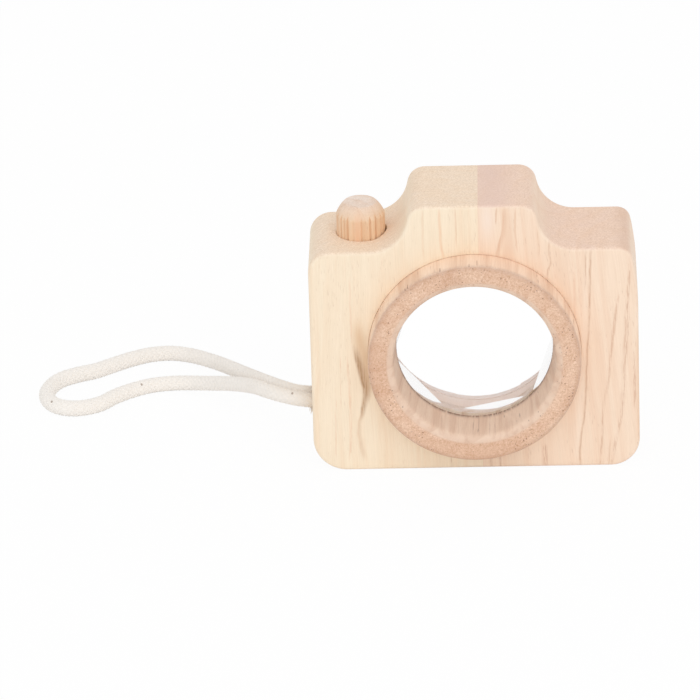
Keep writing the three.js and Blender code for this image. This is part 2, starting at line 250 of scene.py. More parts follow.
@dataclass
class Shell:
    """Grids of points that together close one surface, with values carried by the points."""

    points: list[Floats] = field(default_factory=list)
    quads: list[Ints] = field(default_factory=list)
    values: dict[str, list[Floats]] = field(default_factory=dict)
    count: int = 0

    def add(self, grid: Floats, wrap: tuple[bool, bool], keep: Flags | None = None, **values: Floats) -> None:
        """Adds a grid of points and the four-sided faces between them.

        Args:
            grid: Points, rows by columns.
            wrap: Whether rows and columns run on from the last to the first.
            keep: Which faces are made, all of them if left out.
            **values: One number for each point of the grid, by name.
        """
        index = np.arange(grid.shape[0] * grid.shape[1]).reshape(grid.shape[:2]) + self.count
        index = np.vstack([index, index[:1]]) if wrap[0] else index
        index = np.hstack([index, index[:, :1]]) if wrap[1] else index
        quads = grid_faces(index)
        self.quads.append(quads[keep] if keep is not None else quads.reshape(-1, 4))
        self.points.append(grid.reshape(-1, 3))
        self.count += grid.shape[0] * grid.shape[1]
        for name, value in values.items():
            self.values.setdefault(name, []).append(np.broadcast_to(value, grid.shape[:2]).ravel())

    def build(
        self, name: str, material: Material, grain: Grain = Grain.UPRIGHT, sharp: float = 32.0
    ) -> Piece:
        """Makes the mesh: joins the grids where they meet, closes flat openings and turns the faces outwards.

        Args:
            name: Name of the piece.
            material: Its finish.
            grain: Direction of its grain, for the share of end grain at each corner.
            sharp: Angle in degrees from which an edge stays sharp.

        Returns:
            The piece, at the origin.
        """
        mesh = bpy.data.meshes.new(name)
        mesh.from_pydata((np.vstack(self.points) * MM).tolist(), [], np.vstack(self.quads).tolist())
        for label, parts in self.values.items():
            carry(mesh, label, "POINT", np.concatenate(parts))
        work = bmesh.new()
        work.from_mesh(mesh)
        bmesh.ops.remove_doubles(work, verts=work.verts[:], dist=MERGE_REACH)
        bmesh.ops.dissolve_degenerate(work, edges=work.edges[:], dist=SLIVER)
        bmesh.ops.holes_fill(work, edges=[e for e in work.edges if e.is_boundary], sides=0)
        bmesh.ops.recalc_face_normals(work, faces=work.faces[:])
        work.to_mesh(mesh)
        work.free()
        mesh.shade_smooth()
        mesh.set_sharp_from_angle(angle=math.radians(sharp))
        normals = np.empty(len(mesh.loops) * 3, np.float32)
        mesh.corner_normals.foreach_get("vector", normals)
        carry(mesh, "end_grain", "CORNER", np.abs(normals.reshape(-1, 3) @ grain.direction))
        mesh.materials.append(material)
        piece = bpy.data.objects.new(name, mesh)
        bpy.context.scene.collection.objects.link(piece)
        return piece


def settle(piece: Piece, body: Body, node: str) -> Piece:
    """Puts a piece on its body in place of a CAD node, and reports it.

    Args:
        piece: The new piece.
        body: The body that it rides on.
        node: The CAD node that it stands for.

    Returns:
        The piece.
    """
    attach(piece, body.value)
    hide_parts(node)
    log.info("%s: %d faces, rides on %s", piece.name, len(piece.data.polygons), body.value)
    return piece


# Shader graphs


def srgb(red: float, green: float, blue: float) -> Quad:
    """Turns a colour as it looks into the linear values that shaders take.

    Args:
        red: Red, from 0 to 255.
        green: Green, from 0 to 255.
        blue: Blue, from 0 to 255.

    Returns:
        Linear red, green and blue, and full opacity.
    """
    share = np.array([red, green, blue]) / 255
    linear = np.where(share <= 0.04045, share / 12.92, ((share + 0.055) / 1.055) ** 2.4)
    return (*linear.tolist(), 1.0)


class Graph:
    """Short ways to add and join the nodes of one shader tree."""

    def __init__(self, tree: Tree) -> None:
        """Keeps the tree that nodes are added to."""
        self.tree = tree

    def add(self, kind: str, *values: Any, **settings: Any) -> Node:
        """Adds a node.

        Args:
            kind: Its type.
            *values: Sockets or plain values for its first inputs, in order.
            **settings: Its properties.

        Returns:
            The node.
        """
        node = self.tree.nodes.new(kind)
        for name, value in settings.items():
            setattr(node, name, value)
        for target, value in zip(node.inputs, values):
            self.put(target, value)
        return node

    def put(self, target: Socket, value: Any) -> None:
        """Joins a socket to an input, or writes a plain value on it.

        Args:
            target: The input.
            value: A socket, a number, a vector or a colour.
        """
        if isinstance(value, Socket):
            self.tree.links.new(value, target)
        else:
            target.default_value = value

    def find(self, kind: str) -> Node:
        """The first node of a kind that the tree has."""
        return next(n for n in self.tree.nodes if n.type == kind)

    def group(self, tree: Tree, values: dict[str, Any]) -> Any:
        """Places a node group.

        Args:
            tree: The group.
            values: Sockets or plain values for its inputs, by name.

        Returns:
            Its outputs, by name or number.
        """
        node = self.add("ShaderNodeGroup", node_tree=tree)
        for label, value in values.items():
            self.put(node.inputs[label], value)
        return node.outputs

    def math(self, operation: str, *values: Any, clamp: bool = False) -> Socket:
        """The result of one operation on numbers, kept from 0 to 1 with clamp."""
        return self.add("ShaderNodeMath", *values, operation=operation, use_clamp=clamp).outputs[0]

    def times(self, first: Any, second: Any) -> Socket:
        """Product of two numbers."""
        return self.math("MULTIPLY", first, second)

    def vector(self, operation: str, *values: Any) -> Socket:
        """The result of one operation on vectors, a vector or, for LENGTH, a number."""
        node = self.add("ShaderNodeVectorMath", *values, operation=operation)
        return node.outputs[1 if operation == "LENGTH" else 0]

    def join(self, *values: Any) -> Socket:
        """A vector of three numbers."""
        return self.add("ShaderNodeCombineXYZ", *values).outputs[0]

    def parts(self, vector: Socket) -> tuple[Socket, Socket, Socket]:
        """The x, y and z of a vector."""
        return tuple(self.add("ShaderNodeSeparateXYZ", vector).outputs)

    def noise(
        self, vector: Any, rate: Triple, detail: float, roughness: float, colour: bool = False
    ) -> Socket:
        """Cloudy noise.

        Args:
            vector: The place.
            rate: Clouds for each unit of the place in x, y and z.
            detail: Number of finer layers.
            roughness: Weight of each layer against the one before it.
            colour: Whether the result is three numbers.

        Returns:
            The noise, from 0 to 1.
        """
        node = self.add("ShaderNodeTexNoise")
        values = {"Scale": 1.0, "Detail": detail, "Roughness": roughness}
        for label, value in (values | {"Vector": self.vector("MULTIPLY", vector, rate)}).items():
            self.put(node.inputs[label], value)
        return node.outputs[1 if colour else 0]

    def cells(self, vector: Any) -> Any:
        """Points scattered about one for each unit of a vector.

        Args:
            vector: The place.

        Returns:
            The distance to the nearest point, its chance colour and its place, by name.
        """
        node = self.add("ShaderNodeTexVoronoi", vector)
        node.inputs["Scale"].default_value = 1.0
        return node.outputs

    def step(self, value: Socket, low: Any, high: Any, start: Any = 0.0, end: Any = 1.0) -> Socket:
        """Smooth step from start to end while the value goes from low to high."""
        values = (value, low, high, start, end)
        return self.add("ShaderNodeMapRange", *values, interpolation_type="SMOOTHSTEP").outputs[0]

    def curve(self, value: Socket, points: Sequence[Pair]) -> Socket:
        """A smooth curve through points.

        Args:
            value: Where the curve is read, from 0 to 1.
            points: Two or more points whose both numbers lie between 0 and 1.

        Returns:
            The curve's height there.
        """
        node = self.add("ShaderNodeFloatCurve")
        line = node.mapping.curves[0]
        line.points[0].location, line.points[1].location = points[0], points[-1]
        for spot in points[1:-1]:
            line.points.new(*spot)
        node.mapping.update()
        self.put(node.inputs[1], value)
        return node.outputs[0]

    def mix(self, share: Any, first: Any, second: Any) -> Socket:
        """Mix of two colours.

        Args:
            share: Share of the second colour.
            first: The first colour.
            second: The second colour.

        Returns:
            The mixed colour.
        """
        node = self.add("ShaderNodeMix", share, data_type="RGBA")
        for place, item in ((6, first), (7, second)):
            self.put(node.inputs[place], item)
        return node.outputs[2]


def new_group(name: str, inputs: dict[str, str], outputs: dict[str, str]) -> tuple[Graph, Any, Any]:
    """Starts a shader node group.

    Args:
        name: Its name.
        inputs: Names and kinds of its inputs, the kinds being Float, Vector or Color.
        outputs: Names and kinds of its outputs.

    Returns:
        The graph, the values that it is given and the values that it gives, by name.
    """
    tree = bpy.data.node_groups.new(name, "ShaderNodeTree")
    for way, sockets in (("INPUT", inputs), ("OUTPUT", outputs)):
        for label, kind in sockets.items():
            tree.interface.new_socket(label, in_out=way, socket_type=f"NodeSocket{kind}")
    graph = Graph(tree)
    return graph, graph.add("NodeGroupInput").outputs, graph.add("NodeGroupOutput").inputs


@dataclass(frozen=True)
class GrainMarks:
    """Marks of bare wood: clouds for each millimetre, twice across and once along the grain, and shares."""

    sway: Triple = (0.07, 0.07, 0.016)
    sway_reach: Triple = (5.0, 5.0, 0.0)
    streak: Triple = (0.42, 0.42, 0.012)
    fibre: Triple = (2.8, 2.8, 0.07)
    fine: Triple = (9.0, 9.0, 0.5)
    crowd: Triple = (0.17, 0.17, 0.03)
    cloud: Triple = (0.2, 0.2, 0.02)
    blotch: Triple = (1.7, 1.7, 0.09)
    wobble: Triple = (0.05, 0.05, 0.25)
    wobble_reach: float = 0.5
    dash: Triple = (4.5, 0.15, 0.28)
    vessel_slimness: float = 0.07
    end_range: Pair = (0.25, 0.9)
    end_share: float = 0.85
    end_speckle: float = 2.0
    end_blotch: float = 0.4
    side_pore: float = 0.85
    worn: Quad = (1.0, 0.93, 0.84, 1.0)
    worn_share: float = 0.35
    edge_share: float = 0.15
    fibre_relief: float = 0.45
    ring_relief: float = 0.12


MARKS = GrainMarks()


@cache
def wood_grain_group() -> Tree:
    """Wood as a solid: growth rings about the z axis, streaks, fibres and vessels along it, greyer end grain.

    A ring darkens from its middle to its late wood and stops short there. Vessels are scattered points, long
    along the grain, crowded in clouds and in late wood. Fibres make the colour paler or fuller.

    Returns:
        The group. Its place is in millimetres, with z along the grain and the pith at x = y = 0.
    """
    numbers = ("Ring gap", "Ring depth", "Streak depth", "Fibre depth", "Pore depth", "Pore rate")
    numbers += ("End grain", "Edge", "Stain")
    inputs = {"Place": "Vector", **{n: "Color" for n in ("Pale", "Dark", "Pore", "End")}}
    inputs |= {n: "Float" for n in numbers}
    outputs = {"Colour": "Color", "Roughness": "Float", "Height": "Float"}
    g, take, made = new_group("wood_grain", inputs, outputs)
    place, end = take["Place"], g.step(take["End grain"], *MARKS.end_range)

    sway = g.vector("SUBTRACT", g.noise(place, MARKS.sway, 2, 0.5, True), (0.5, 0.5, 0.5))
    bent = g.vector("ADD", place, g.vector("MULTIPLY", sway, MARKS.sway_reach))
    away = g.vector("LENGTH", g.vector("MULTIPLY", bent, (1, 1, 0)))
    rings = g.math("DIVIDE", away, take["Ring gap"])
    share = g.math("FRACT", rings)
    chance = g.add("ShaderNodeTexWhiteNoise", noise_dimensions="1D")
    g.put(chance.inputs["W"], g.math("FLOOR", rings))
    late = g.times(g.step(share, 0.5, 0.95), g.step(share, 0.95, 1.0, 1.0, 0.0))
    late = g.times(late, g.math("MULTIPLY_ADD", chance.outputs[0], 0.85, 0.15))
    streak = g.step(g.noise(bent, MARKS.streak, 4, 0.6), 0.42, 0.72)
    fibre = g.noise(bent, MARKS.fibre, 3, 0.65)
    fine = g.noise(place, MARKS.fine, 1, 0.5)

    crowd = g.step(g.noise(bent, MARKS.crowd, 3, 0.6), 0.42, 0.62)
    crowd = g.math("ADD", g.times(crowd, 0.9), g.times(late, 0.4), clamp=True)
    across, along = take["Pore rate"], g.times(take["Pore rate"], MARKS.vessel_slimness)
    spots = g.cells(g.vector("MULTIPLY", bent, g.join(across, across, along)))
    size = g.parts(spots["Color"])[0]
    wide = g.math("MULTIPLY_ADD", size, 0.2, g.math("MULTIPLY_ADD", end, 0.05, 0.1))
    pore = g.step(spots["Distance"], g.times(wide, 0.55), wide, 1.0, 0.0)
    pore = g.times(pore, g.step(g.math("SUBTRACT", crowd, size), -0.3, 0.3))

    colour = g.mix(g.times(streak, take["Streak depth"]), take["Pale"], take["Dark"])
    colour = g.mix(g.times(late, take["Ring depth"]), colour, take["Dark"])
    cloud = g.step(g.noise(place, MARKS.cloud, 4, 0.65), 0.35, 0.65)
    tip = g.mix(g.times(cloud, take["Streak depth"]), take["End"], take["Dark"])
    tip = g.mix(g.times(late, take["Ring depth"]), tip, take["Dark"])
    colour = g.mix(g.times(end, MARKS.end_share), colour, tip)
    lines = g.math("ADD", g.times(fibre, 0.7), g.times(fine, 0.3))
    speckle = g.times(take["Fibre depth"], g.math("MULTIPLY_ADD", end, MARKS.end_speckle, 1.0))
    blotch = g.math("SUBTRACT", g.noise(place, MARKS.blotch, 2, 0.6), 0.5)
    mottle = g.math("MULTIPLY_ADD", blotch, g.times(end, MARKS.end_blotch), g.math("SUBTRACT", lines, 0.5))
    tone = g.times(mottle, speckle)
    shade = g.add("ShaderNodeHueSaturation")
    g.put(shade.inputs["Value"], g.math("ADD", tone, 1.0))
    g.put(shade.inputs["Saturation"], g.math("SUBTRACT", 1.0, tone))
    g.put(shade.inputs["Color"], colour)
    cut = g.math("MULTIPLY_ADD", end, 1 - MARKS.side_pore, MARKS.side_pore)
    colour = g.mix(g.times(g.times(pore, take["Pore depth"]), cut), shade.outputs[0], take["Pore"])
    worn = g.mix(MARKS.worn_share, colour, MARKS.worn)
    colour = g.mix(g.times(take["Edge"], MARKS.edge_share), colour, worn)
    # Painted shade: where a mesh carries it, the colour darkens towards the pore colour, at the barrel's lens
    # seat, outer front edge and front lip.
    stain = g.times(take["Stain"], g.step(fibre, 0.25, 0.6))
    g.put(made["Colour"], g.mix(stain, colour, take["Pore"]))

    rough = g.math("ADD", g.times(fibre, 0.16), g.math("MULTIPLY_ADD", end, 0.08, 0.5))
    g.put(made["Roughness"], g.math("ADD", rough, g.times(pore, 0.12)))
    relief = g.math("SUBTRACT", g.times(lines, MARKS.fibre_relief), pore)
    g.put(made["Height"], g.math("SUBTRACT", relief, g.times(late, MARKS.ring_relief)))
    return g.tree


@cache
def grain_line_group() -> Tree:
    """One line in a board: a band about a middle x, wider to its right, faded at its ends, broken in dashes.

    Returns:
        The group. Its place is in millimetres in the object's frame, and it puts out a mask.
    """
    numbers = ("Middle", "Width", "Spread", "Low", "High", "Fade", "Broken")
    inputs = {"Place": "Vector", **{n: "Float" for n in numbers}}
    g, take, made = new_group("grain_line", inputs, {"Mask": "Float"})
    x, _, z = g.parts(take["Place"])
    wobble = g.math("SUBTRACT", g.noise(take["Place"], MARKS.wobble, 2, 0.6), 0.5)
    away = g.math("SUBTRACT", x, g.math("MULTIPLY_ADD", wobble, MARKS.wobble_reach, take["Middle"]))
    right = g.math("GREATER_THAN", away, 0.0)
    flank = g.math("MULTIPLY_ADD", right, g.math("SUBTRACT", take["Spread"], 1.0), 1.0)
    width = g.times(take["Width"], flank)
    core = g.step(g.math("DIVIDE", g.math("ABSOLUTE", away), width), 0.0, 1.0, 1.0, 0.0)
    rise = g.step(z, take["Low"], g.math("ADD", take["Low"], take["Fade"]))
    fall = g.step(z, g.math("SUBTRACT", take["High"], take["Fade"]), take["High"], 1.0, 0.0)
    dash = g.step(g.noise(take["Place"], MARKS.dash, 2, 0.6), 0.42, 0.6)
    kept = g.math("SUBTRACT", 1.0, g.times(take["Broken"], g.math("SUBTRACT", 1.0, dash)))
    g.put(made["Mask"], g.times(core, g.times(kept, g.times(rise, fall))))
    return g.tree


@cache
def scuff_group() -> Tree:
    """Fine scratches and smudges: thin bands of stretched noise in two directions over slow clouds.

    Returns:
        The group, whose place is in millimetres.
    """
    inputs = {"Place": "Vector", "Low": "Float", "High": "Float"}
    g, take, made = new_group("fine_scuffs", inputs, {"Roughness": "Float", "Height": "Float"})
    one = g.noise(take["Place"], (5.0, 0.6, 0.25), 2, 0.6)
    two = g.noise(take["Place"], (0.3, 0.6, 6.0), 2, 0.6)
    lines = g.math("MAXIMUM", g.step(one, 0.66, 0.74), g.step(two, 0.67, 0.75))
    cloud = g.noise(take["Place"], (0.12, 0.12, 0.12), 3, 0.5)
    share = g.math("ADD", g.times(lines, 0.6), g.times(cloud, 0.4), clamp=True)
    span = g.math("SUBTRACT", take["High"], take["Low"])
    g.put(made["Roughness"], g.math("MULTIPLY_ADD", share, span, take["Low"]))
    g.put(made["Height"], g.times(lines, -1.0))
    return g.tree


# Finishes


def new_material(name: str) -> tuple[Graph, Node, Socket]:
    """Starts a material.

    Args:
        name: Its name.

    Returns:
        Its graph, its Principled shader and the place in millimetres.
    """
    material = bpy.data.materials.new(name)
    material.use_nodes = True
    graph = Graph(material.node_tree)
    spot = graph.add("ShaderNodeTexCoord").outputs["Object"]
    place = graph.add("ShaderNodeVectorMath", spot, operation="SCALE")
    place.inputs["Scale"].default_value = 1 / MM
    return graph, graph.find("BSDF_PRINCIPLED"), place.outputs[0]


def read(graph: Graph, name: str) -> Socket:
    """The number that a mesh carries under a name, or 0 where it carries none."""
    return graph.add("ShaderNodeAttribute", attribute_name=name).outputs["Fac"]


def bump(graph: Graph, shader: Node, height: Socket, relief: Pair) -> None:
    """Gives a shader relief from a height.

    Args:
        graph: The material's graph.
        shader: Its shader.
        height: Height, from about 0 to 1.
        relief: Depth in millimetres of a height of 1, and the share of it that shows.
    """
    node = graph.add("ShaderNodeBump")
    for label, value in (("Distance", relief[0] * MM), ("Strength", relief[1]), ("Height", height)):
        graph.put(node.inputs[label], value)
    graph.put(shader.inputs["Normal"], node.outputs[0])


@dataclass(frozen=True)
class GrainLine:
    """A line in a board: the x and z of points along it from the bottom up, and half widths spread along it.

    Depth is its strength on side grain and end_depth on end grain. Broken is the share that dashes take away,
    fade the length over which it starts and stops, and spread how much wider it is to its right.
    """

    path: tuple[Pair, ...]
    widths: tuple[float, ...]
    depth: float
    tint: Triple
    broken: float = 0.5
    fade: float = 4.0
    spread: float = 1.0
    end_depth: float = 0.06

    def mask(self, g: Graph, place: Socket) -> Socket:
        """Adds the line's nodes: curves of its middle and its width by height, and the group that draws it.

        Args:
            g: The material's graph.
            place: Place in millimetres.

        Returns:
            The line's mask.
        """
        x, z = np.array(self.path).T
        low, high, left = float(z[0]), float(z[-1]), float(x.min())
        height = g.add("ShaderNodeMapRange", g.parts(place)[2], low, high, 0.0, 1.0).outputs[0]
        reach = max(float(np.ptp(x)), LEAST_REACH)
        bends = zip(((z - low) / (high - low)).tolist(), ((x - left) / reach).tolist())
        middle = g.curve(height, list(bends))
        widest = max(self.widths)
        where = np.linspace(0, 1, len(self.widths)).tolist()
        width = g.curve(height, [(w, v / widest) for w, v in zip(where, self.widths)])
        values = {"Place": place, "Middle": g.math("MULTIPLY_ADD", middle, reach, left)}
        values |= {"Width": g.times(width, widest), "Low": low, "High": high}
        values |= {"Fade": self.fade, "Broken": self.broken, "Spread": self.spread}
        return g.group(grain_line_group(), values)[0]


@dataclass(frozen=True)
class Wood:
    """Sanded bare wood, cut from a log whose pith lies at a place across the grain."""

    name: str
    grain: Grain
    pale: Triple
    dark: Triple
    end: Triple
    pore: Triple = (158, 104, 72)
    pith: Triple = (60.0, 90.0, 0.0)
    tilt: float = 0.0
    ring_gap: float = 6.0
    ring_depth: float = 0.35
    streak_depth: float = 0.35
    fibre_depth: float = 0.16
    pore_depth: float = 0.55
    pore_rate: float = 3.2
    # Painted light: the pale lilac that the rear bore, seen through the lens, is lightened towards.
    unsanded: Triple = (248, 235, 230)
    line_range: Pair = (0.2, 0.9)
    relief: Pair = (0.12, 0.5)
    lines: tuple[GrainLine, ...] = ()

    def material(self) -> Material:
        """Builds the material: the wood grain group turned to this piece, its lines, relief and roughness."""
        g, shader, place = new_material(self.name)
        turn = g.add("ShaderNodeMapping", place)
        turn.inputs["Location"].default_value = self.pith
        x, y, z = self.grain.value
        turn.inputs["Rotation"].default_value = [math.radians(a) for a in (x, y + self.tilt, z)]
        end = g.times(read(g, "end_grain"), g.math("SUBTRACT", 1.0, read(g, "lip")))
        values = {"Place": turn.outputs[0], "End grain": end}
        values |= {"Edge": read(g, "edge"), "Stain": read(g, "stain")}
        tints = {"Pale": self.pale, "Dark": self.dark, "Pore": self.pore, "End": self.end}
        values |= {label: srgb(*tint) for label, tint in tints.items()}
        values |= {"Ring gap": self.ring_gap, "Ring depth": self.ring_depth}
        values |= {"Streak depth": self.streak_depth, "Fibre depth": self.fibre_depth}
        values |= {"Pore depth": self.pore_depth, "Pore rate": self.pore_rate}
        wood = g.group(wood_grain_group(), values)
        # Painted light: lightens the rear bore where it is seen through the lens.
        colour = g.mix(read(g, "unsanded"), wood["Colour"], srgb(*self.unsanded))
        for line in self.lines:
            strength = g.step(end, *self.line_range, line.depth, line.end_depth)
            colour = g.mix(g.times(line.mask(g, place), strength), colour, srgb(*line.tint))
        g.put(shader.inputs["Base Color"], colour)
        g.put(shader.inputs["Roughness"], wood["Roughness"])
        bump(g, shader, wood["Height"], self.relief)
        return bpy.data.materials[self.name]


@dataclass(frozen=True)
class ClearPlastic:
    """Clear cast acrylic, polished, with faint scuffs."""

    name: str = "clear_acrylic"
    index: float = 1.49
    roughness: Pair = (0.0, 0.03)
    relief: Pair = (0.004, 0.15)

    def material(self) -> Material:
        """Builds the material: glass with faint scuffs, which lets the lamps' light through."""
        g, shader, place = new_material(self.name)
        shader.inputs["Base Color"].default_value = (1, 1, 1, 1)
        shader.inputs["Transmission Weight"].default_value = 1.0
        shader.inputs["IOR"].default_value = self.index
        low, high = self.roughness
        scuffs = g.group(scuff_group(), {"Place": place, "Low": low, "High": high})
        g.put(shader.inputs["Roughness"], scuffs["Roughness"])
        bump(g, shader, scuffs["Height"], self.relief)
        clear = g.add("ShaderNodeBsdfTransparent").outputs[0]
        shadow = g.add("ShaderNodeLightPath").outputs["Is Shadow Ray"]
        mixed = g.add("ShaderNodeMixShader", shadow, shader.outputs[0], clear)
        g.put(g.find("OUTPUT_MATERIAL").inputs[0], mixed.outputs[0])
        return bpy.data.materials[self.name]


@dataclass(frozen=True)
class DrawnSteel:
    """Bright drawn wire with fine scuffs."""

    name: str = "drawn_steel"
    dull: Triple = (176, 177, 180)
    bright: Triple = (206, 207, 208)
    scuff_rate: Triple = (3.0, 3.0, 3.0)
    cloud_rate: Triple = (1.0, 1.0, 1.0)
    roughness: Pair = (0.22, 0.5)
    relief: Pair = (0.01, 0.3)

    def material(self) -> Material:
        """Builds the material: metal whose colour and gloss vary with scuffs."""
        g, shader, place = new_material(self.name)
        shader.inputs["Metallic"].default_value = 1.0
        low, high = self.roughness
        fine = g.vector("MULTIPLY", place, self.scuff_rate)
        scuffs = g.group(scuff_group(), {"Place": fine, "Low": low, "High": high})
        cloud = g.noise(place, self.cloud_rate, 3, 0.6)
        g.put(shader.inputs["Base Color"], g.mix(cloud, srgb(*self.dull), srgb(*self.bright)))
        g.put(shader.inputs["Roughness"], scuffs["Roughness"])
        bump(g, shader, scuffs["Height"], self.relief)
        return bpy.data.materials[self.name]


@dataclass(frozen=True)
class Cotton:
    """Unbleached cotton yarn, with seed specks, glue at its fixed ends and painted warm light bounced from the
    body near them.
    """

    name: str = "braided_cotton"
    pale: Triple = (253, 248, 242)
    # Dimmer tone for fibres and clouds, and painted shade in the hollows between yarns.
    hollow_shade_and_tone: Triple = (246, 239, 231)
    speck: Triple = (150, 128, 112)
    glue: Triple = (212, 184, 148)
    fibre_rate: Triple = (9.0, 7.3, 1.0)
    fibre_twist: Pair = (0.9, 1.1)
    cloud_rate: Triple = (0.12, 0.12, 0.12)
    speck_rate: Triple = (0.16, 0.16, 0.16)
    sheen: Pair = (0.3, 0.6)
    relief: Pair = (0.1, 0.6)

    def material(self) -> Material:
        """Builds the material: yarn fibres, painted shade in hollows between yarns, specks, glue and painted
        bounce light.
        """
        g, shader, place = new_material(self.name)
        along, across = self.fibre_twist
        slant = g.math("MULTIPLY_ADD", read(g, "along"), along, g.times(read(g, "across"), across))
        yarn = g.join(read(g, "across"), read(g, "strand"), slant)
        fibre = g.noise(yarn, self.fibre_rate, 3, 0.65)
        cloud = g.noise(place, self.cloud_rate, 2, 0.5)
        # Painted shade: the braid's low places between yarns, and the core, are darkened.
        hollow_shade = g.step(read(g, "rise"), -0.1, 0.9, 1.0, 0.0)
        pale, hollow_shade_and_tone = srgb(*self.pale), srgb(*self.hollow_shade_and_tone)
        colour = g.mix(g.times(hollow_shade, 0.75), pale, hollow_shade_and_tone)
        colour = g.mix(g.step(fibre, 0.3, 0.7, 0.22, 0.0), colour, hollow_shade_and_tone)
        colour = g.mix(g.step(cloud, 0.45, 0.75, 0.0, 0.35), colour, hollow_shade_and_tone)
        dots = g.cells(g.vector("MULTIPLY", place, self.speck_rate))["Distance"]
        colour = g.mix(g.step(dots, 0.045, 0.075, 0.75, 0.0), colour, srgb(*self.speck))
        # Glue stain near the mouth, and painted warm bounce light from the body farther out.
        stain = g.times(read(g, "glue"), g.step(fibre, 0.2, 0.7, 1.0, 0.6))
        g.put(shader.inputs["Base Color"], g.mix(stain, colour, srgb(*self.glue)))
        g.put(shader.inputs["Roughness"], g.math("MULTIPLY_ADD", fibre, 0.12, 0.82))
        for label, value in zip(("Sheen Weight", "Sheen Roughness"), self.sheen):
            shader.inputs[label].default_value = value
        bump(g, shader, fibre, self.relief)
        return bpy.data.materials[self.name]


GLUE_LINE = GrainLine(((1.7, -5.0), (1.7, 84.0)), (0.14, 0.14), 0.12, (190, 140, 104), 0.3, end_depth=0.12)
PALE_BOARD = Wood(
    "pale_board",
    Grain.UPRIGHT,
    pale=(250, 233, 208),
    dark=(244, 215, 184),
    end=(245, 222, 199),
    pith=(8.0, 100.0, 0.0),
    ring_gap=2.6,
    ring_depth=0.28,
    streak_depth=0.4,
    fibre_depth=0.24,
    pore_depth=0.22,
    lines=(
        GLUE_LINE,
        # Painted shadow of the barrel: a tan band on the board along the barrel's left side.
        GrainLine(
            ((-29.8, 20.0), (-29.7, 25.4), (-30.0, 32.0), (-31.2, 38.0), (-32.0, 48.0)),
            (0.8, 2.0, 2.8, 2.6, 1.2), 0.6, (218, 180, 138), 0.1, 8.0,
        ),
        GrainLine(
            ((-32.2, 14.0), (-31.3, 18.6), (-30.8, 21.5), (-30.5, 23.9), (-30.8, 26.3), (-31.3, 28.7),
             (-31.9, 31.4), (-32.5, 34.0), (-33.4, 39.0)),
            (0.4, 0.55, 0.75, 1.0, 1.1, 1.1, 0.9, 0.8, 0.4), 0.86, (170, 125, 82), 0.4, 6.0, 2.5,
        ),
        GrainLine(
            ((-31.0, 2.0), (-31.7, 6.2), (-32.2, 9.3), (-32.5, 11.7), (-32.4, 14.2), (-31.8, 16.6),
             (-31.3, 20.0)),
            (0.6, 0.9, 0.9, 0.8, 0.7, 0.6, 0.5), 0.32, (200, 154, 116), 0.25, 4.0, 1.6,
        ),
        GrainLine(((-33.6, 38.0), (-33.7, 52.0), (-33.4, 60.0)), (0.4, 0.6, 0.4), 0.3, (230, 182, 146)),
        GrainLine(((-35.4, 2.0), (-34.6, 20.0), (-35.6, 36.0)), (0.5, 0.7, 0.5), 0.4, (232, 186, 152), 0.8),
        GrainLine(((-39.0, 2.0), (-38.4, 26.0)), (0.5, 0.4), 0.35, (234, 190, 158), 0.85),
        GrainLine(((-37.2, 18.0), (-36.8, 36.0)), (0.3, 0.3), 0.35, (222, 172, 134), 0.95),
        GrainLine(((-13.4, 62.0), (-13.4, 73.3), (-13.1, 80.0)), (0.3, 0.5, 0.4), 0.35, (222, 180, 138), 0.4),
        GrainLine(((-7.6, 62.0), (-8.7, 71.7), (-8.8, 80.0)), (0.5, 0.7, 0.5), 0.5, (236, 188, 148), 0.25),
        GrainLine(((-4.2, 66.0), (-4.4, 73.1), (-4.4, 80.0)), (0.25, 0.35, 0.3), 0.4, (212, 164, 122), 0.3),
        GrainLine(((-7.0, -2.0), (-6.9, 7.0)), (0.7, 0.5), 0.5, (190, 140, 104), 0.8, 2.0),
    ),
)
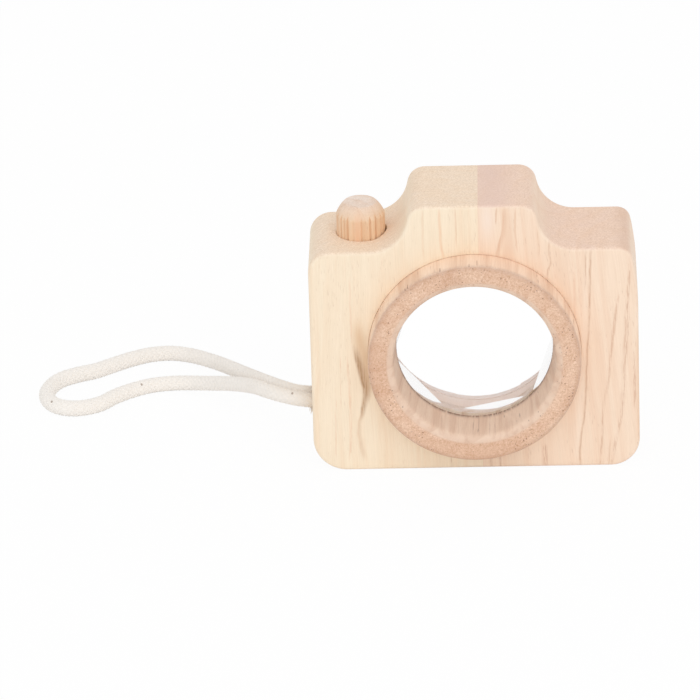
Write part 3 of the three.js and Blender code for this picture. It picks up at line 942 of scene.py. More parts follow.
ROSY_BOARD = Wood(
    "rosy_board",
    Grain.UPRIGHT,
    pale=(249, 225, 202),
    dark=(240, 206, 179),
    end=(241, 211, 192),
    pith=(-75.0, 20.0, 0.0),
    tilt=5.0,
    ring_gap=6.2,
    ring_depth=0.38,
    streak_depth=0.4,
    fibre_depth=0.22,
    pore_depth=0.3,
    lines=(
        GLUE_LINE,
        GrainLine(((5.0, 66.0), (5.0, 84.0)), (9.0, 9.0), 0.0, (228, 196, 186), 0.1, 1.0, end_depth=0.45),
        GrainLine(((4.2, 66.0), (4.2, 84.0)), (3.4, 3.4), 0.55, (250, 233, 221), 0.1, 9.0),
        # Painted shade on the right shoulder's top towards its outer corner.
        GrainLine(((42.0, 50.0), (42.0, 68.0)), (4.0, 4.0), 0.0, (220, 184, 160), 0.3, 1.0, end_depth=0.5),
        GrainLine(
            ((27.2, 0.0), (28.8, 19.9), (30.2, 44.8), (31.0, 64.0)),
            (0.9, 1.2, 1.2, 0.9), 0.35, (254, 236, 218), 0.1,
        ),
        GrainLine(
            ((28.4, -2.0), (28.6, 6.2), (29.9, 16.1), (30.9, 34.3), (31.5, 45.2), (31.9, 57.7), (32.3, 68.0)),
            (0.45, 0.5, 0.5, 0.5, 0.5, 0.55, 0.6), 0.55, (190, 140, 104), 0.6,
        ),
        GrainLine(((30.3, 52.0), (30.7, 59.4), (30.8, 67.0)), (0.35, 0.4, 0.4), 0.5, (198, 150, 114), 0.8),
        GrainLine(
            ((33.6, -2.0), (34.5, 7.9), (35.1, 17.7), (36.5, 25.9), (38.0, 40.0), (40.0, 54.0)),
            (0.5, 0.55, 0.6, 0.7, 0.8, 0.6), 0.52, (202, 152, 118), 0.9,
        ),
        GrainLine(
            ((36.6, -2.0), (38.4, 7.9), (39.9, 15.5), (41.0, 28.5), (42.0, 48.4), (43.1, 64.0)),
            (0.55, 0.8, 1.0, 1.1, 0.8, 0.6), 0.52, (198, 148, 116), 0.95,
        ),
        GrainLine(((36.4, -2.0), (36.6, 5.1), (37.4, 10.0)), (0.4, 0.4, 0.3), 0.45, (200, 150, 112), 0.5),
        GrainLine(((43.8, 16.0), (43.8, 36.0)), (0.7, 0.6), 0.5, (194, 142, 110), 0.95),
        # Painted shade along the right board's right front edge.
        GrainLine(((44.9, 4.0), (44.9, 44.0)), (1.0, 1.2), 0.5, (232, 190, 152), 0.3, 8.0),
        GrainLine(((27.6, 42.0), (27.7, 60.0)), (0.6, 0.7), 0.35, (232, 188, 156), 0.5),
        GrainLine(
            ((20.1, 54.0), (20.4, 59.3), (21.2, 62.3), (20.8, 65.0), (21.4, 70.0)),
            (0.3, 0.45, 0.5, 0.5, 0.45), 0.42, (198, 150, 114), 0.6,
        ),
        GrainLine(
            ((6.0, 62.0), (7.2, 67.5), (8.4, 72.8), (8.7, 80.0)),
            (0.4, 0.5, 0.5, 0.4), 0.5, (216, 166, 130), 0.35, 4.0, 3.0,
        ),
        GrainLine(
            ((12.9, 64.0), (11.8, 69.0), (11.7, 72.8), (12.2, 80.0)),
            (0.3, 0.45, 0.45, 0.4), 0.45, (220, 172, 136), 0.35,
        ),
        GrainLine(((10.2, 62.0), (10.2, 80.0)), (2.2, 2.2), 0.4, (240, 208, 182), 0.1),
        GrainLine(((6.4, 73.0), (6.9, 79.0)), (0.3, 0.35), 0.55, (204, 152, 112), 0.3, 1.5),
        GrainLine(((18.2, 62.0), (17.9, 68.0), (18.0, 75.0)), (0.4, 0.9, 0.6), 0.4, (220, 178, 142), 0.8),
        GrainLine(((18.9, -2.0), (18.7, 8.0)), (1.4, 1.2), 0.5, (196, 142, 108), 1.0, 2.0),
        GrainLine(((6.3, -2.0), (6.5, 6.0)), (0.6, 0.5), 0.45, (190, 140, 104), 0.9, 2.0),
        GrainLine(((3.8, -2.0), (3.8, 6.0)), (0.9, 0.8), 0.4, (200, 160, 128), 0.5, 2.0),
    ),
)
WALL_VESSELS = ((-9.4, 16.2), (-0.8, 13.9), (0.7, 13.9), (3.7, 14.2), (5.1, 14.5))
VESSEL_REACH = 1.4
BARREL_WOOD = Wood(
    "turned_barrel_wood",
    Grain.ALONG_BARREL,
    pale=(252, 225, 202),
    dark=(213, 167, 136),
    end=(230, 192, 164),
    pore=(136, 88, 66),
    pith=(30.0, 75.0, 0.0),
    ring_gap=7.0,
    ring_depth=0.4,
    streak_depth=0.42,
    fibre_depth=0.34,
    pore_depth=0.75,
    pore_rate=1.15,
    lines=(
        GrainLine(((-26.4, 22.0), (-26.4, 47.0)), (5.5, 5.5), 0.0, (206, 156, 122), 0.2, 7.0, end_depth=0.32),
        GrainLine(((2.0, 2.0), (2.0, 15.0)), (24.0, 24.0), 0.0, (206, 156, 122), 0.2, 4.0, end_depth=0.3),
        GrainLine(((-5.0, 57.2), (-5.0, 62.8)), (5.5, 5.5), 0.0, (190, 148, 122), 0.5, 1.6, end_depth=0.35),
        *(
            GrainLine(
                ((x, z - VESSEL_REACH), (x, z + VESSEL_REACH)),
                (0.18, 0.18), 0.5, (160, 102, 72), 1.0, 0.4, end_depth=0.0,
            )
            for x, z in WALL_VESSELS
        ),
    ),
)
RING_WOOD = Wood(
    "cut_ring_wood",
    Grain.UPRIGHT,
    pale=(248, 229, 208),
    dark=(222, 186, 154),
    end=(243, 229, 222),
    pith=(-55.0, 40.0, 30.0),
    ring_gap=3.6,
    ring_depth=0.7,
    streak_depth=0.35,
    fibre_depth=0.25,
    pore_depth=0.4,
)
DOWEL_WOOD = Wood(
    "fluted_dowel_wood",
    Grain.UPRIGHT,
    pale=(239, 205, 171),
    dark=(222, 176, 137),
    end=(243, 229, 219),
    pith=(50.0, 20.0, 0.0),
    ring_gap=3.4,
    ring_depth=0.3,
    streak_depth=0.3,
    fibre_depth=0.2,
    pore_depth=0.45,
    lines=(GrainLine(((-31.3, 60.0), (-31.3, 76.0)), (1.7, 1.7), 0.6, (238, 188, 152), 0.1),),
)


# The pieces


@dataclass(frozen=True)
class BlindHole:
    """A round blind hole in a board.

    Its centre lies across its axis, and its floor is a place along it. The axes are the two across the hole
    and the one along it. The board's grid makes room for it in a window, square or round, that passes the
    radius by margin.
    """

    centre: Pair
    radius: float
    floor: float
    axes: tuple[int, int, int]
    margin: float = 1.5
    square: bool = True

    def near(self, grid: Floats) -> Flags:
        """Tells which points of a grid lie in the hole's window.

        Args:
            grid: The points.

        Returns:
            A flag for each point.
        """
        away = np.abs(grid[..., list(self.axes[:2])] - self.centre)
        far = away.max(axis=-1) if self.square else np.linalg.norm(away, axis=-1)
        return far < self.radius + self.margin


@dataclass
class BodyBoards:
    """The block: two boards glued edge to edge, with the barrel's bore and three smaller holes."""

    half_width: float = 45.0
    front: float = -10.45
    back: float = 18.55
    axis_height: float = 35.4
    bore: float = 29.21
    counterbore: float = 31.5
    counterbore_depth: float = 7.0
    shoulder: float = 65.8
    hump: float = 79.0
    left_bottom: float = 9.3
    right_bottom: float = 8.0
    left_corner: float = 6.2
    right_corner: float = 3.8
    right_side_radius: float = 75.0
    right_side_curve: float = 18.0
    hump_corner: float = 4.9
    hump_corner_x: float = 12.846
    fillet: float = 10.5
    fillet_x: float = 28.158
    lean: float = 76.373
    glue_line: float = 1.7
    edge_round: float = 1.0
    bore_ease: float = 0.3
    rim_share: float = 0.3
    hole_ease: Pair = (0.15, 0.12)
    button_hole: BlindHole = BlindHole((-30.42, 4.2), 6.98, 55.960, (0, 1, 2))
    cord_hole: BlindHole = BlindHole((4.05, 15.9), 4.55, -31.0, (1, 2, 0), margin=1.6)
    pin_hole: BlindHole = BlindHole((-30.6, 61.010), 1.1, 14.0, (0, 2, 1), square=False)
    flush: float = 0.01
    station: float = 0.75
    bend_density: float = 1.6
    front_columns: int = 12
    round_columns: int = 7
    side_columns: int = 38
    back_columns: int = 16
    counterbore_columns: int = 5
    bore_columns: int = 9

    def straight(self, first: Pair, last: Pair) -> tuple[Floats, Floats]:
        """A straight run, divided evenly.

        Args:
            first: Its first point.
            last: Its last point.

        Returns:
            The points, and the direction to the run's right at each.
        """
        start, end = np.array(first, float), np.array(last, float)
        far = np.linalg.norm(end - start)
        count = max(2, round(float(far) / self.station))
        x, z = (end - start) / far
        spots = start + (end - start) * np.linspace(0, 1, count + 1)[:, None]
        return spots, np.repeat([[z, -x]], count + 1, axis=0)

    def bend(
        self, centre: Pair, radius: float, first: float, last: float, way: int = 1
    ) -> tuple[Floats, Floats]:
        """An arc of the outline.

        Args:
            centre: Its middle.
            radius: Its radius.
            first: First angle in degrees.
            last: Last angle in degrees.
            way: 1 where outwards is away from the centre, -1 where it is towards it.

        Returns:
            The points, and the outward direction at each.
        """
        count = max(8, round(math.radians(abs(last - first)) * radius / self.station * self.bend_density))
        spots = arc(centre, radius, first, last, count)
        return spots, way * (spots - centre) / radius

    def outline(self, side: Side) -> tuple[Floats, Floats]:
        """Half of the block's front view, from the glue line at the bottom round to the glue line at the top.

        Straight runs and arcs follow each other tangent to tangent. They are worked out for positive x and
        mirrored for the left. The right side curves in towards its shoulder.

        Args:
            side: Which board.

        Returns:
            Points as x and z, and the outward direction at each.
        """
        low, high, reach = self.left_bottom, self.left_corner, self.left_corner
        if side is Side.RIGHT:
            low, high, reach = self.right_bottom, self.right_corner, self.right_side_curve
        width, top, start = self.half_width, self.shoulder, side.value * self.glue_line
        pieces = [
            self.straight((start, 0.0), (width - low, 0.0)),
            self.bend((width - low, low), low, -90, 0),
            self.straight((width, low), (width, top - reach)),
        ]
        corner_x, tilt = width - high, 0.0
        if side is Side.RIGHT:
            radius = self.right_side_radius
            tilt = math.asin((reach - high) / (radius - high))
            corner_x = width - radius + (radius - high) * math.cos(tilt)
            pieces.append(self.bend((width - radius, top - reach), radius, 0, math.degrees(tilt)))
        pieces += [
            self.bend((corner_x, top - high), high, math.degrees(tilt), 90),
            self.straight((corner_x, top), (self.fillet_x, top)),
            self.bend((self.fillet_x, top + self.fillet), self.fillet, -90, -90 - self.lean, -1),
        ]
        crown = (self.hump_corner_x, self.hump - self.hump_corner)
        corner = self.bend(crown, self.hump_corner, 90 - self.lean, 90)
        pieces += [
            self.straight(tuple(pieces[-1][0][-1]), tuple(corner[0][0])),
            corner,
            self.straight((self.hump_corner_x, self.hump), (start, self.hump)),
        ]
        spots, ways = (np.vstack([pieces[0][n], *(p[n][1:] for p in pieces[1:])]) for n in (0, 1))
        mirror = np.array([side.value, 1.0])
        return spots * mirror, ways * mirror

    def section_loops(self, side: Side) -> tuple[Floats, Floats, dict[str, slice]]:
        """The board as one closed section carried from the lower glue face to the upper one.

        At each point of the outline the section runs over the front face, round the front edge, across the
        thickness, round the back edge and over the back face to the bores. It meets a bore where the ray from
        the glue line at the axis height through that point cuts the bore's circle.

        Args:
            side: Which board.

        Returns:
            Grid of points, edge value of each column, and the columns of the named faces.
        """
        spots, ways = self.outline(side)
        inset = spots - ways * self.edge_round
        eye = np.array([self.glue_line, self.axis_height])
        ray = (inset - eye) / np.linalg.norm(inset - eye, axis=1, keepdims=True)
        lean = ray[:, 0] * eye[0]

        def rim(radius: float) -> Floats:
            """Where the rays cut a circle round the barrel's axis."""
            return eye + ray * (np.sqrt(lean**2 - eye[0] ** 2 + radius**2) - lean)[:, None]

        columns: list[Floats] = []
        edges: list[float] = []
        named: dict[str, slice] = {}

        def column(flat: Floats, depth: float, edge: float = 0.0) -> None:
            """Adds one point of the section at every station."""
            columns.append(np.column_stack([flat[:, 0], np.full(len(flat), depth), flat[:, 1]]))
            edges.append(edge)

        ease, small = self.bore_ease, self.rim_share * self.bore_ease
        shares = np.linspace(0, 1, self.round_columns)[1:-1]
        for share in np.linspace(0, 1, self.front_columns):
            column(rim(self.bore + ease) * (1 - share) + inset * share, self.front)
        for share in shares:
            swing = share * math.pi / 2
            depth = self.front + self.edge_round * (1 - math.cos(swing))
            column(inset + ways * self.edge_round * math.sin(swing), depth, math.sin(math.pi * share))
        first = len(columns)
        near, far = self.front + self.edge_round, self.back - self.edge_round
        for depth in np.linspace(near, far, self.side_columns):
            column(spots, depth)
        named["side"] = slice(first, len(columns))
        for share in shares:
            swing = share * math.pi / 2
            depth = self.back - self.edge_round * (1 - math.sin(swing))
            column(inset + ways * self.edge_round * math.cos(swing), depth, math.sin(math.pi * share))
        first = len(columns)
        for share in np.linspace(0, 1, self.back_columns):
            column(inset * (1 - share) + rim(self.counterbore + ease) * share, self.back)
        named["back"] = slice(first, len(columns))
        floor = self.back - self.counterbore_depth
        column(rim(self.counterbore + small), self.back - small, 1.0)
        for depth in np.linspace(self.back - ease, floor, self.counterbore_columns):
            column(rim(self.counterbore), depth)
        for depth in np.linspace(floor, self.front + ease, self.bore_columns):
            column(rim(self.bore), depth)
        column(rim(self.bore + small), self.front + small, 1.0)
        return np.stack(columns, axis=1), np.array(edges), named

    def top_height(self, x: Floats) -> Floats:
        """Height of the left shoulder at x: its corner's arc, the level run, then the fillet up to the hump.

        Args:
            x: Places along the shoulder.

        Returns:
            Height at each.
        """
        away = np.abs(x)
        corner = np.clip(away - (self.half_width - self.left_corner), 0, self.left_corner)
        fillet = np.clip(self.fillet_x - away, 0, self.fillet * 0.98)
        drop = self.left_corner - np.sqrt(self.left_corner**2 - corner**2)
        return self.shoulder - drop + self.fillet - np.sqrt(self.fillet**2 - fillet**2)

    def hole(
        self, shell: Shell, grid: Floats, where: Flags, hole: BlindHole, surface: Callable[[Floats], Floats]
    ) -> tuple[slice, slice]:
        """Cuts a round blind hole in a part of a grid.

        The faces between the hole and a window of the grid run straight from the window's edge to the circle.
        The wall goes down from there over an eased rim, and the floor closes to its middle.

        Args:
            shell: The surface that the hole's faces join.
            grid: The grid that has the hole.
            where: Which grid points lie on the face that is cut.
            hole: The hole.
            surface: Place of the surface along the hole's axis, from points across it.

        Returns:
            The faces of the grid that the window takes away, as rows and columns.
        """
        near = where & hole.near(grid)
        rows, cols = np.nonzero(near.any(1))[0], np.nonzero(near.any(0))[0]
        i, k, j, m = rows[0], rows[-1], cols[0], cols[-1]
        ring = np.vstack([grid[i, j:m], grid[i:k, m], grid[k, m:j:-1], grid[k:i:-1, j]])
        a, b, c = hole.axes
        radius, floor = hole.radius, hole.floor
        flat = ring[:, [a, b]] - hole.centre
        circle = flat / np.linalg.norm(flat, axis=1, keepdims=True)
        ease = min(self.hole_ease[0], self.hole_ease[1] * radius)
        stations = [(share, radius + ease, 0.0, 0.0, 0.0) for share in np.linspace(0, 1, 9)]
        for t in np.radians([22, 45, 68, 90]):
            wider, lower = ease * (1 - math.sin(t)), ease * (1 - math.cos(t))
            stations.append((1.0, radius + wider, lower, 0.0, math.sin(2 * t)))
        stations += [(1.0, radius, ease, deep, 0.0) for deep in (0.08, 0.3, 0.6, 0.9, 1.0)]
        stations += [(1.0, radius * share, ease, 1.0, 0.0) for share in (0.75, 0.4, 0.0)]
        points, edges = [], []
        for share, size, drop, deep, edge in stations:
            across = flat * (1 - share) + circle * size * share + hole.centre
            level = surface(across)
            spot = np.empty((len(across), 3))
            spot[:, a], spot[:, b] = across[:, 0], across[:, 1]
            spot[:, c] = (level + np.sign(floor - level) * drop) * (1 - deep) + floor * deep
            points.append(ring if share == 0 else spot)
            edges.append(edge)
        shell.add(np.stack(points, axis=1), (True, False), edge=np.array(edges)[None])
        return slice(i, k), slice(j, m)

    def board(self, side: Side, material: Material, name: str) -> Piece:
        """Builds one board, the left one with the holes for the button, the cord and the pin.

        Args:
            side: Which board.
            material: Its finish.
            name: Name of the piece.

        Returns:
            The piece.
        """
        grid, edges, named = self.section_loops(side)
        shell = Shell()
        keep = np.ones((grid.shape[0] - 1, grid.shape[1]), bool)
        if side is Side.LEFT:
            x, _, z = np.moveaxis(grid, 2, 0)
            column = np.arange(grid.shape[1])
            faces = (named["side"], named["back"])
            on_side, on_back = ((column >= face.start) & (column < face.stop) for face in faces)
            on_top, on_end = on_side & (z > self.axis_height), on_side & (x < self.flush - self.half_width)
            for hole, where, surface in (
                (self.button_hole, on_top, lambda p: self.top_height(p[:, 0])),
                (self.cord_hole, on_end, lambda p: np.full(len(p), -self.half_width)),
                (self.pin_hole, on_back, lambda p: np.full(len(p), self.back)),
            ):
                keep[self.hole(shell, grid, where, hole, surface)] = False
        shell.add(grid, (False, True), keep, edge=edges[None])
        return shell.build(name, material)

    def make(self) -> None:
        """Builds and dresses both boards."""
        for side, wood, slot, node in (
            (Side.LEFT, PALE_BOARD, "pale_wood", "body_left_board"),
            (Side.RIGHT, ROSY_BOARD, "rosy_wood", "body_right_board"),
        ):
            piece = self.board(side, wood.material(), f"{side.name.lower()}_board")
            settle(piece, Body.CAMERA, node)


@dataclass
class TurningBarrel:
    """The turned tube with its faceted lens, the ring behind it, and the ring that keeps the tube in."""

    axis_height: float = 35.4
    outer: float = 29.2
    inner: float = 22.5
    lens_opening: float = 21.5
    rear_bore: float = 24.3
    flange: float = 31.2
    front: float = -18.55
    seat: float = -5.8
    flange_front: float = 11.85
    rear: float = 14.85
    lens_radius: float = 24.1
    lens_thickness: float = 8.0
    lens_ease: float = 0.25
    lens_facets: int = 6
    facet_columns: int = 24
    facet_starts: Pair = (7.0, 23.1)
    facet_angles: Pair = (6.0, 32.0)
    facet_turn: float = 18.5
    ring_inner: float = 22.5
    ring_front: float = 0.989
    ring_length: float = 4.0
    eyepiece: Quad = (31.3, 24.2, 15.15, 18.55)
    inner_round: float = 2.7
    # Painted shade at the lens's seat, on the outer front edge and on the front lip: width of its bell curves
    # and their shares.
    shade_width: float = 1.1
    rim_shade: float = 0.35
    lip_radius: float = 24.0
    lip_shade: float = 0.2
    lip_side_grain: float = 0.5
    # Share of painted light on the rear bore, and how near its radius it reaches.
    bore_brightening: float = 0.65
    bore_reach: float = 0.5
    profile_step: float = 0.6
    sides: int = 288

    def ring(self, name: str, corners: Sequence[Triple], wood: Wood, material: Material) -> Piece:
        """Turns a closed profile of eased corners about the barrel's axis.

        Painted shade falls off as a bell curve from the lens's seat, the outer front edge and the front lip.

        Args:
            name: Name of the piece.
            corners: Radius, depth and rounding of each corner.
            wood: The wood that it is turned from.
            material: That wood's finish.

        Returns:
            The piece.
        """
        profile, edge = eased_profile(corners, self.profile_step, True)
        radius, depth = profile.T
        lip = (radius < self.lip_radius) & (depth < self.front + self.inner_round)
        # Painted light on the rear bore behind the lens, where it is seen through the lens.
        in_bore = (depth > self.seat) & (np.abs(radius - self.rear_bore) < self.bore_reach)
        rim = np.linalg.norm(profile - [self.outer, self.front], axis=1)
        # Painted shade: a dark band round the lens's seat, a little on the rounded outer front edge to dim its
        # highlight, and some on the bore's front lip.
        stain = np.exp(-(((depth - self.seat) / self.shade_width) ** 2)) * (radius < self.inner)
        stain += self.rim_shade * np.exp(-((rim / self.shade_width) ** 2))
        stain += self.lip_shade * lip * np.exp(-(((depth - self.front) / self.shade_width) ** 2))
        marks = {"edge": edge, "stain": stain}
        marks |= {"lip": self.lip_side_grain * lip, "unsanded": self.bore_brightening * in_bore}
        shell = Shell()
        grid = turned(profile, (0.0, self.axis_height), self.sides)
        shell.add(grid, (True, True), **{label: mark[:, None] for label, mark in marks.items()})
        return shell.build(name, material, wood.grain)

    def lens(self, material: Material) -> Piece:
        """Builds the lens: a disc with a flat front, and behind a flat table in two rings of facets.

        A point's place behind the front is the thickness on the table. From the side of each ring's start it
        falls by the tangent of that ring's angle for each step outwards, measured across the facet. Columns
        stand on the facets' edges, and rows of points follow the sides of both starts, so each facet is flat.

        Args:
            material: Its finish.

        Returns:
            The piece.
        """
        count = self.lens_facets * self.facet_columns
        angle = np.arange(count) * 2 * np.pi / count
        turn = np.mod(angle, 2 * np.pi / self.lens_facets) - np.pi / self.lens_facets
        sides = [start * math.cos(math.pi / self.lens_facets) for start in self.facet_starts]
        slopes = np.tan(np.radians(self.facet_angles))
        ease, rim = self.lens_ease, self.lens_radius
        small = 0.3 * ease
        first, second = (np.minimum(side / np.cos(turn), rim - ease) for side in sides)
        rows = [first * share for share in (0.0, 0.5, 1.0)]
        rows += [first + (second - first) * share for share in (0.33, 0.67, 1.0)]
        rows += [second + (rim - ease - second) * share for share in (0.5, 1.0)]
        radius = np.stack(rows)
        across = radius * np.cos(turn)
        depth = self.lens_thickness - (np.clip(across, sides[0], sides[1]) - sides[0]) * slopes[0]
        depth = depth - np.clip(across - sides[1], 0, None) * slopes[1]
        flat = 0 * turn
        outer = [(rim - small, depth[-1] - small), (rim, depth[-1] - ease)]
        outer += [(rim, flat + ease), (rim - small, flat + small), (rim - ease, flat)]
        outer += [(rim * share, flat) for share in (0.6, 0.3, 0.0)]
        radius = np.vstack([radius] + [np.full((1, len(turn)), r) for r, _ in outer])
        depth = np.vstack([depth] + [d[None] for _, d in outer])
        way = angle - math.radians(90 + self.facet_turn)
        x, z = radius * np.cos(way), radius * np.sin(way) + self.axis_height
        shell = Shell()
        shell.add(np.stack([x, depth + self.seat, z], axis=-1), (False, True))
        return shell.build("faceted_lens", material, Grain.ALONG_BARREL, sharp=3.0)

    def make(self) -> None:
        """Builds and dresses the barrel, the lens and both rings."""
        tube = [
            (self.outer, self.front, 0.8),
            (self.outer, self.flange_front, 0.0),
            (self.flange, self.flange_front, 0.3),
            (self.flange, self.rear, 0.3),
            (self.rear_bore, self.rear, 0.4),
            (self.rear_bore, self.seat, 0.0),
            (self.lens_opening, self.seat, 0.15),
            (self.inner, self.front, self.inner_round),
        ]
        barrel = self.ring("turned_barrel", tube, BARREL_WOOD, BARREL_WOOD.material())
        settle(barrel, Body.BARREL, "lens_barrel")
        settle(self.lens(ClearPlastic().material()), Body.BARREL, "kaleidoscope_lens")
        wood = RING_WOOD.material()
        near, far = self.ring_front, self.ring_front + self.ring_length
        outer, inner = self.lens_radius, self.ring_inner
        corners = [(outer, near, 0.2), (outer, far, 0.2), (inner, far, 0.4), (inner, near, 0.2)]
        keeper = self.ring("lens_keeper_ring", corners, RING_WOOD, wood)
        settle(keeper, Body.BARREL, "lens_retaining_ring")
        outer, inner, near, far = self.eyepiece
        corners = [(outer, near, 0.2), (outer, far, 0.3), (inner, far, 1.2), (inner, near, 0.2)]
        settle(self.ring("eyepiece", corners, RING_WOOD, wood), Body.CAMERA, "eyepiece_ring")


@dataclass
class ShutterButton:
    """The fluted dowel that is pressed, the spring under it and the pin that keeps it in."""

    x: float = -30.6
    y: float = 4.05
    radius: float = 6.7
    foot: float = 58.960
    foot_ease: float = 0.5
    side_top: float = 71.3
    top: float = 74.8
    flat_radius: float = 4.45
    flat_rise: float = 0.06
    bevel_bulge: float = 0.35
    pocket: Pair = (3.15, 4.2)
    flutes: tuple[float, ...] = (-69.0, -52.0, -42.0, -32.0, -17.0, 4.0, 11.0, 25.0, 41.0, 59.0, 75.0)
    flute_shares: tuple[float, ...] = (1.0, 1.0, 0.55, 0.9, 0.35, 0.6, 0.3, 1.0, 1.1, 1.0, 0.9)
    flute_count: int = 20
    flute_depth: float = 0.66
    flute_depths: Pair = (0.7, 1.1)
    flute_widths: Pair = (2.6, 3.8)
    flute_seed: int = 22
    slot: Triple = (2.1, 59.960, 64.560)
    slot_floor: float = 4.4
    slot_room: Pair = (0.25, 0.05)
    spring_radius: float = 2.6
    spring_wire: float = 0.5
    spring_turns: int = 5
    spring_reach: Pair = (56.410, 62.710)
    travel: float = 2.5
    pin: Quad = (0.9, 61.010, 8.75, 18.25)
    bevel_rows: int = 18
    wall_rows: int = 46
    sides: int = 480
    turn_steps: int = 40
    wire_sides: int = 12
    pin_sides: int = 32

    def flute(self, angle: Floats) -> Floats:
        """Depth of the flutes in a direction: narrow grooves between lands, each with its depth and width.

        The grooves in front stand at the angles given from the front, and the rest follow evenly round the
        back. A groove's depth falls in proportion to the distance from its middle.

        Args:
            angle: Directions in radians from the x axis.

        Returns:
            Depth in each direction.
        """
        chance = np.random.default_rng(self.flute_seed)
        rest = self.flute_count - len(self.flutes)
        first, last = self.flutes[-1], self.flutes[0] + 360
        behind = first + (last - first) * np.arange(1, rest + 1) / (rest + 1)
        middle = np.radians(np.concatenate([self.flutes, behind]) - 90)
        depth = self.flute_depth * chance.uniform(*self.flute_depths, self.flute_count)
        depth[: len(self.flutes)] = self.flute_depth * np.array(self.flute_shares)
        width = np.radians(chance.uniform(*self.flute_widths, self.flute_count))
        away = np.angle(np.exp(1j * (angle[:, None] - middle[None]))) / width
        return (depth * np.clip(1 - np.abs(away), 0, 1)).max(axis=1)

    def dowel(self, material: Material) -> Piece:
        """Builds the button: the radius is the lesser of the bevelled outline's and the fluted section's.

        The bevel is a curve from the side's top to the flat end, pulled out a little from its chord. Behind,
        the radius drops to the floor of the pin's slot within the slot's width and height.

        Args:
            material: Its finish.

        Returns:
            The piece.
        """
        t = np.linspace(0, 1, self.bevel_rows)[:, None]
        start, end = np.array([self.radius, self.side_top]), np.array([self.flat_radius, self.top])
        bevel = (1 - t) ** 2 * start + 2 * t * (1 - t) * ((start + end) / 2 + self.bevel_bulge) + t**2 * end
        wide, deep = self.pocket
        roof = self.foot + deep
        under = [(0.0, roof), (wide * 0.6, roof), (wide, roof), (wide, self.foot + deep / 2)]
        under = np.array(under + [(wide, self.foot), (self.radius - self.foot_ease, self.foot)])
        heights = np.linspace(self.foot + self.foot_ease, self.side_top, self.wall_rows)
        wall = np.column_stack([np.full(self.wall_rows, self.radius), heights])[:-1]
        flat = self.top + self.flat_rise
        cap = [(self.flat_radius - 0.15, self.top + 0.04), (self.flat_radius - 0.4, flat)]
        cap = np.array(cap + [(r, flat) for r in (3.0, 2.0, 1.0, 0.0)])
        profile = np.vstack([under, wall, bevel, cap])
        angle = np.linspace(0, 2 * np.pi, self.sides, endpoint=False)
        radius = np.minimum(profile[:, :1], self.radius - self.flute(angle))
        width, low, high = self.slot
        beside, over = self.slot_room
        behind = (np.sin(angle) > 0) & (np.abs(radius * np.cos(angle)) < width / 2 + beside)
        within = (profile[:, 1:] > low - over) & (profile[:, 1:] < high + over)
        within = within & (profile[:, :1] > self.slot_floor)
        radius = np.where(behind & within, np.minimum(radius, self.slot_floor), radius)
        height = np.broadcast_to(profile[:, 1:], radius.shape)
        grid = np.stack([self.x + radius * np.cos(angle), self.y + radius * np.sin(angle), height], axis=-1)
        rise = np.clip((height - self.side_top + 0.4) / 1.2, 0, 1)
        shell = Shell()
        shell.add(grid, (False, True), edge=rise * np.clip((self.top - 0.4 - height) / 0.8, 0, 1))
        return shell.build("fluted_button", material, sharp=28.0)

    def coil(self, material: Material) -> Piece:
        """Builds the spring: a round wire carried along a helix, with its ends closed.

        Args:
            material: Its finish.

        Returns:
            The piece.
        """
        t = np.linspace(0, 1, self.spring_turns * self.turn_steps + 1)
        turn = 2 * np.pi * self.spring_turns * t
        low, high = self.spring_reach
        out = np.column_stack([np.cos(turn), np.sin(turn), 0 * t])
        middle = np.column_stack([self.x + 0 * t, self.y + 0 * t, low + (high - low) * t])
        line = out * self.spring_radius + middle
        up = np.cross(headings(line), out)
        angle = np.linspace(0, 2 * np.pi, self.wire_sides, endpoint=False)[None, :, None]
        ring = out[:, None] * np.cos(angle) + up[:, None] * np.sin(angle)
        shell = Shell()
        shell.add(line[:, None] + ring * self.spring_wire / 2, (False, True))
        return shell.build("coil_spring", material, sharp=60.0)

    def stop_pin(self, material: Material) -> Piece:
        """Builds the pin: a profile with eased ends turned about a line along y.

        Args:
            material: Its finish.

        Returns:
            The piece.
        """
        radius, height, tip, head = self.pin
        corners = [(0.0, tip, 0.0), (radius, tip, 0.25), (radius, head, 0.2), (0.0, head, 0.0)]
        profile, _ = eased_profile(corners, 1.0, False)
        shell = Shell()
        shell.add(turned(profile, (self.x, height), self.pin_sides), (False, True))
        return shell.build("stop_pin", material, Grain.ALONG_BARREL)

    def make(self) -> None:
        """Builds and dresses the button, the spring and the pin."""
        settle(self.dowel(DOWEL_WOOD.material()), Body.BUTTON, "shutter_button")
        steel = DrawnSteel().material()
        coil = settle(self.coil(steel), Body.CAMERA, "button_spring")
        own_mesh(coil)
        settle(self.stop_pin(steel), Body.CAMERA, "button_pin")


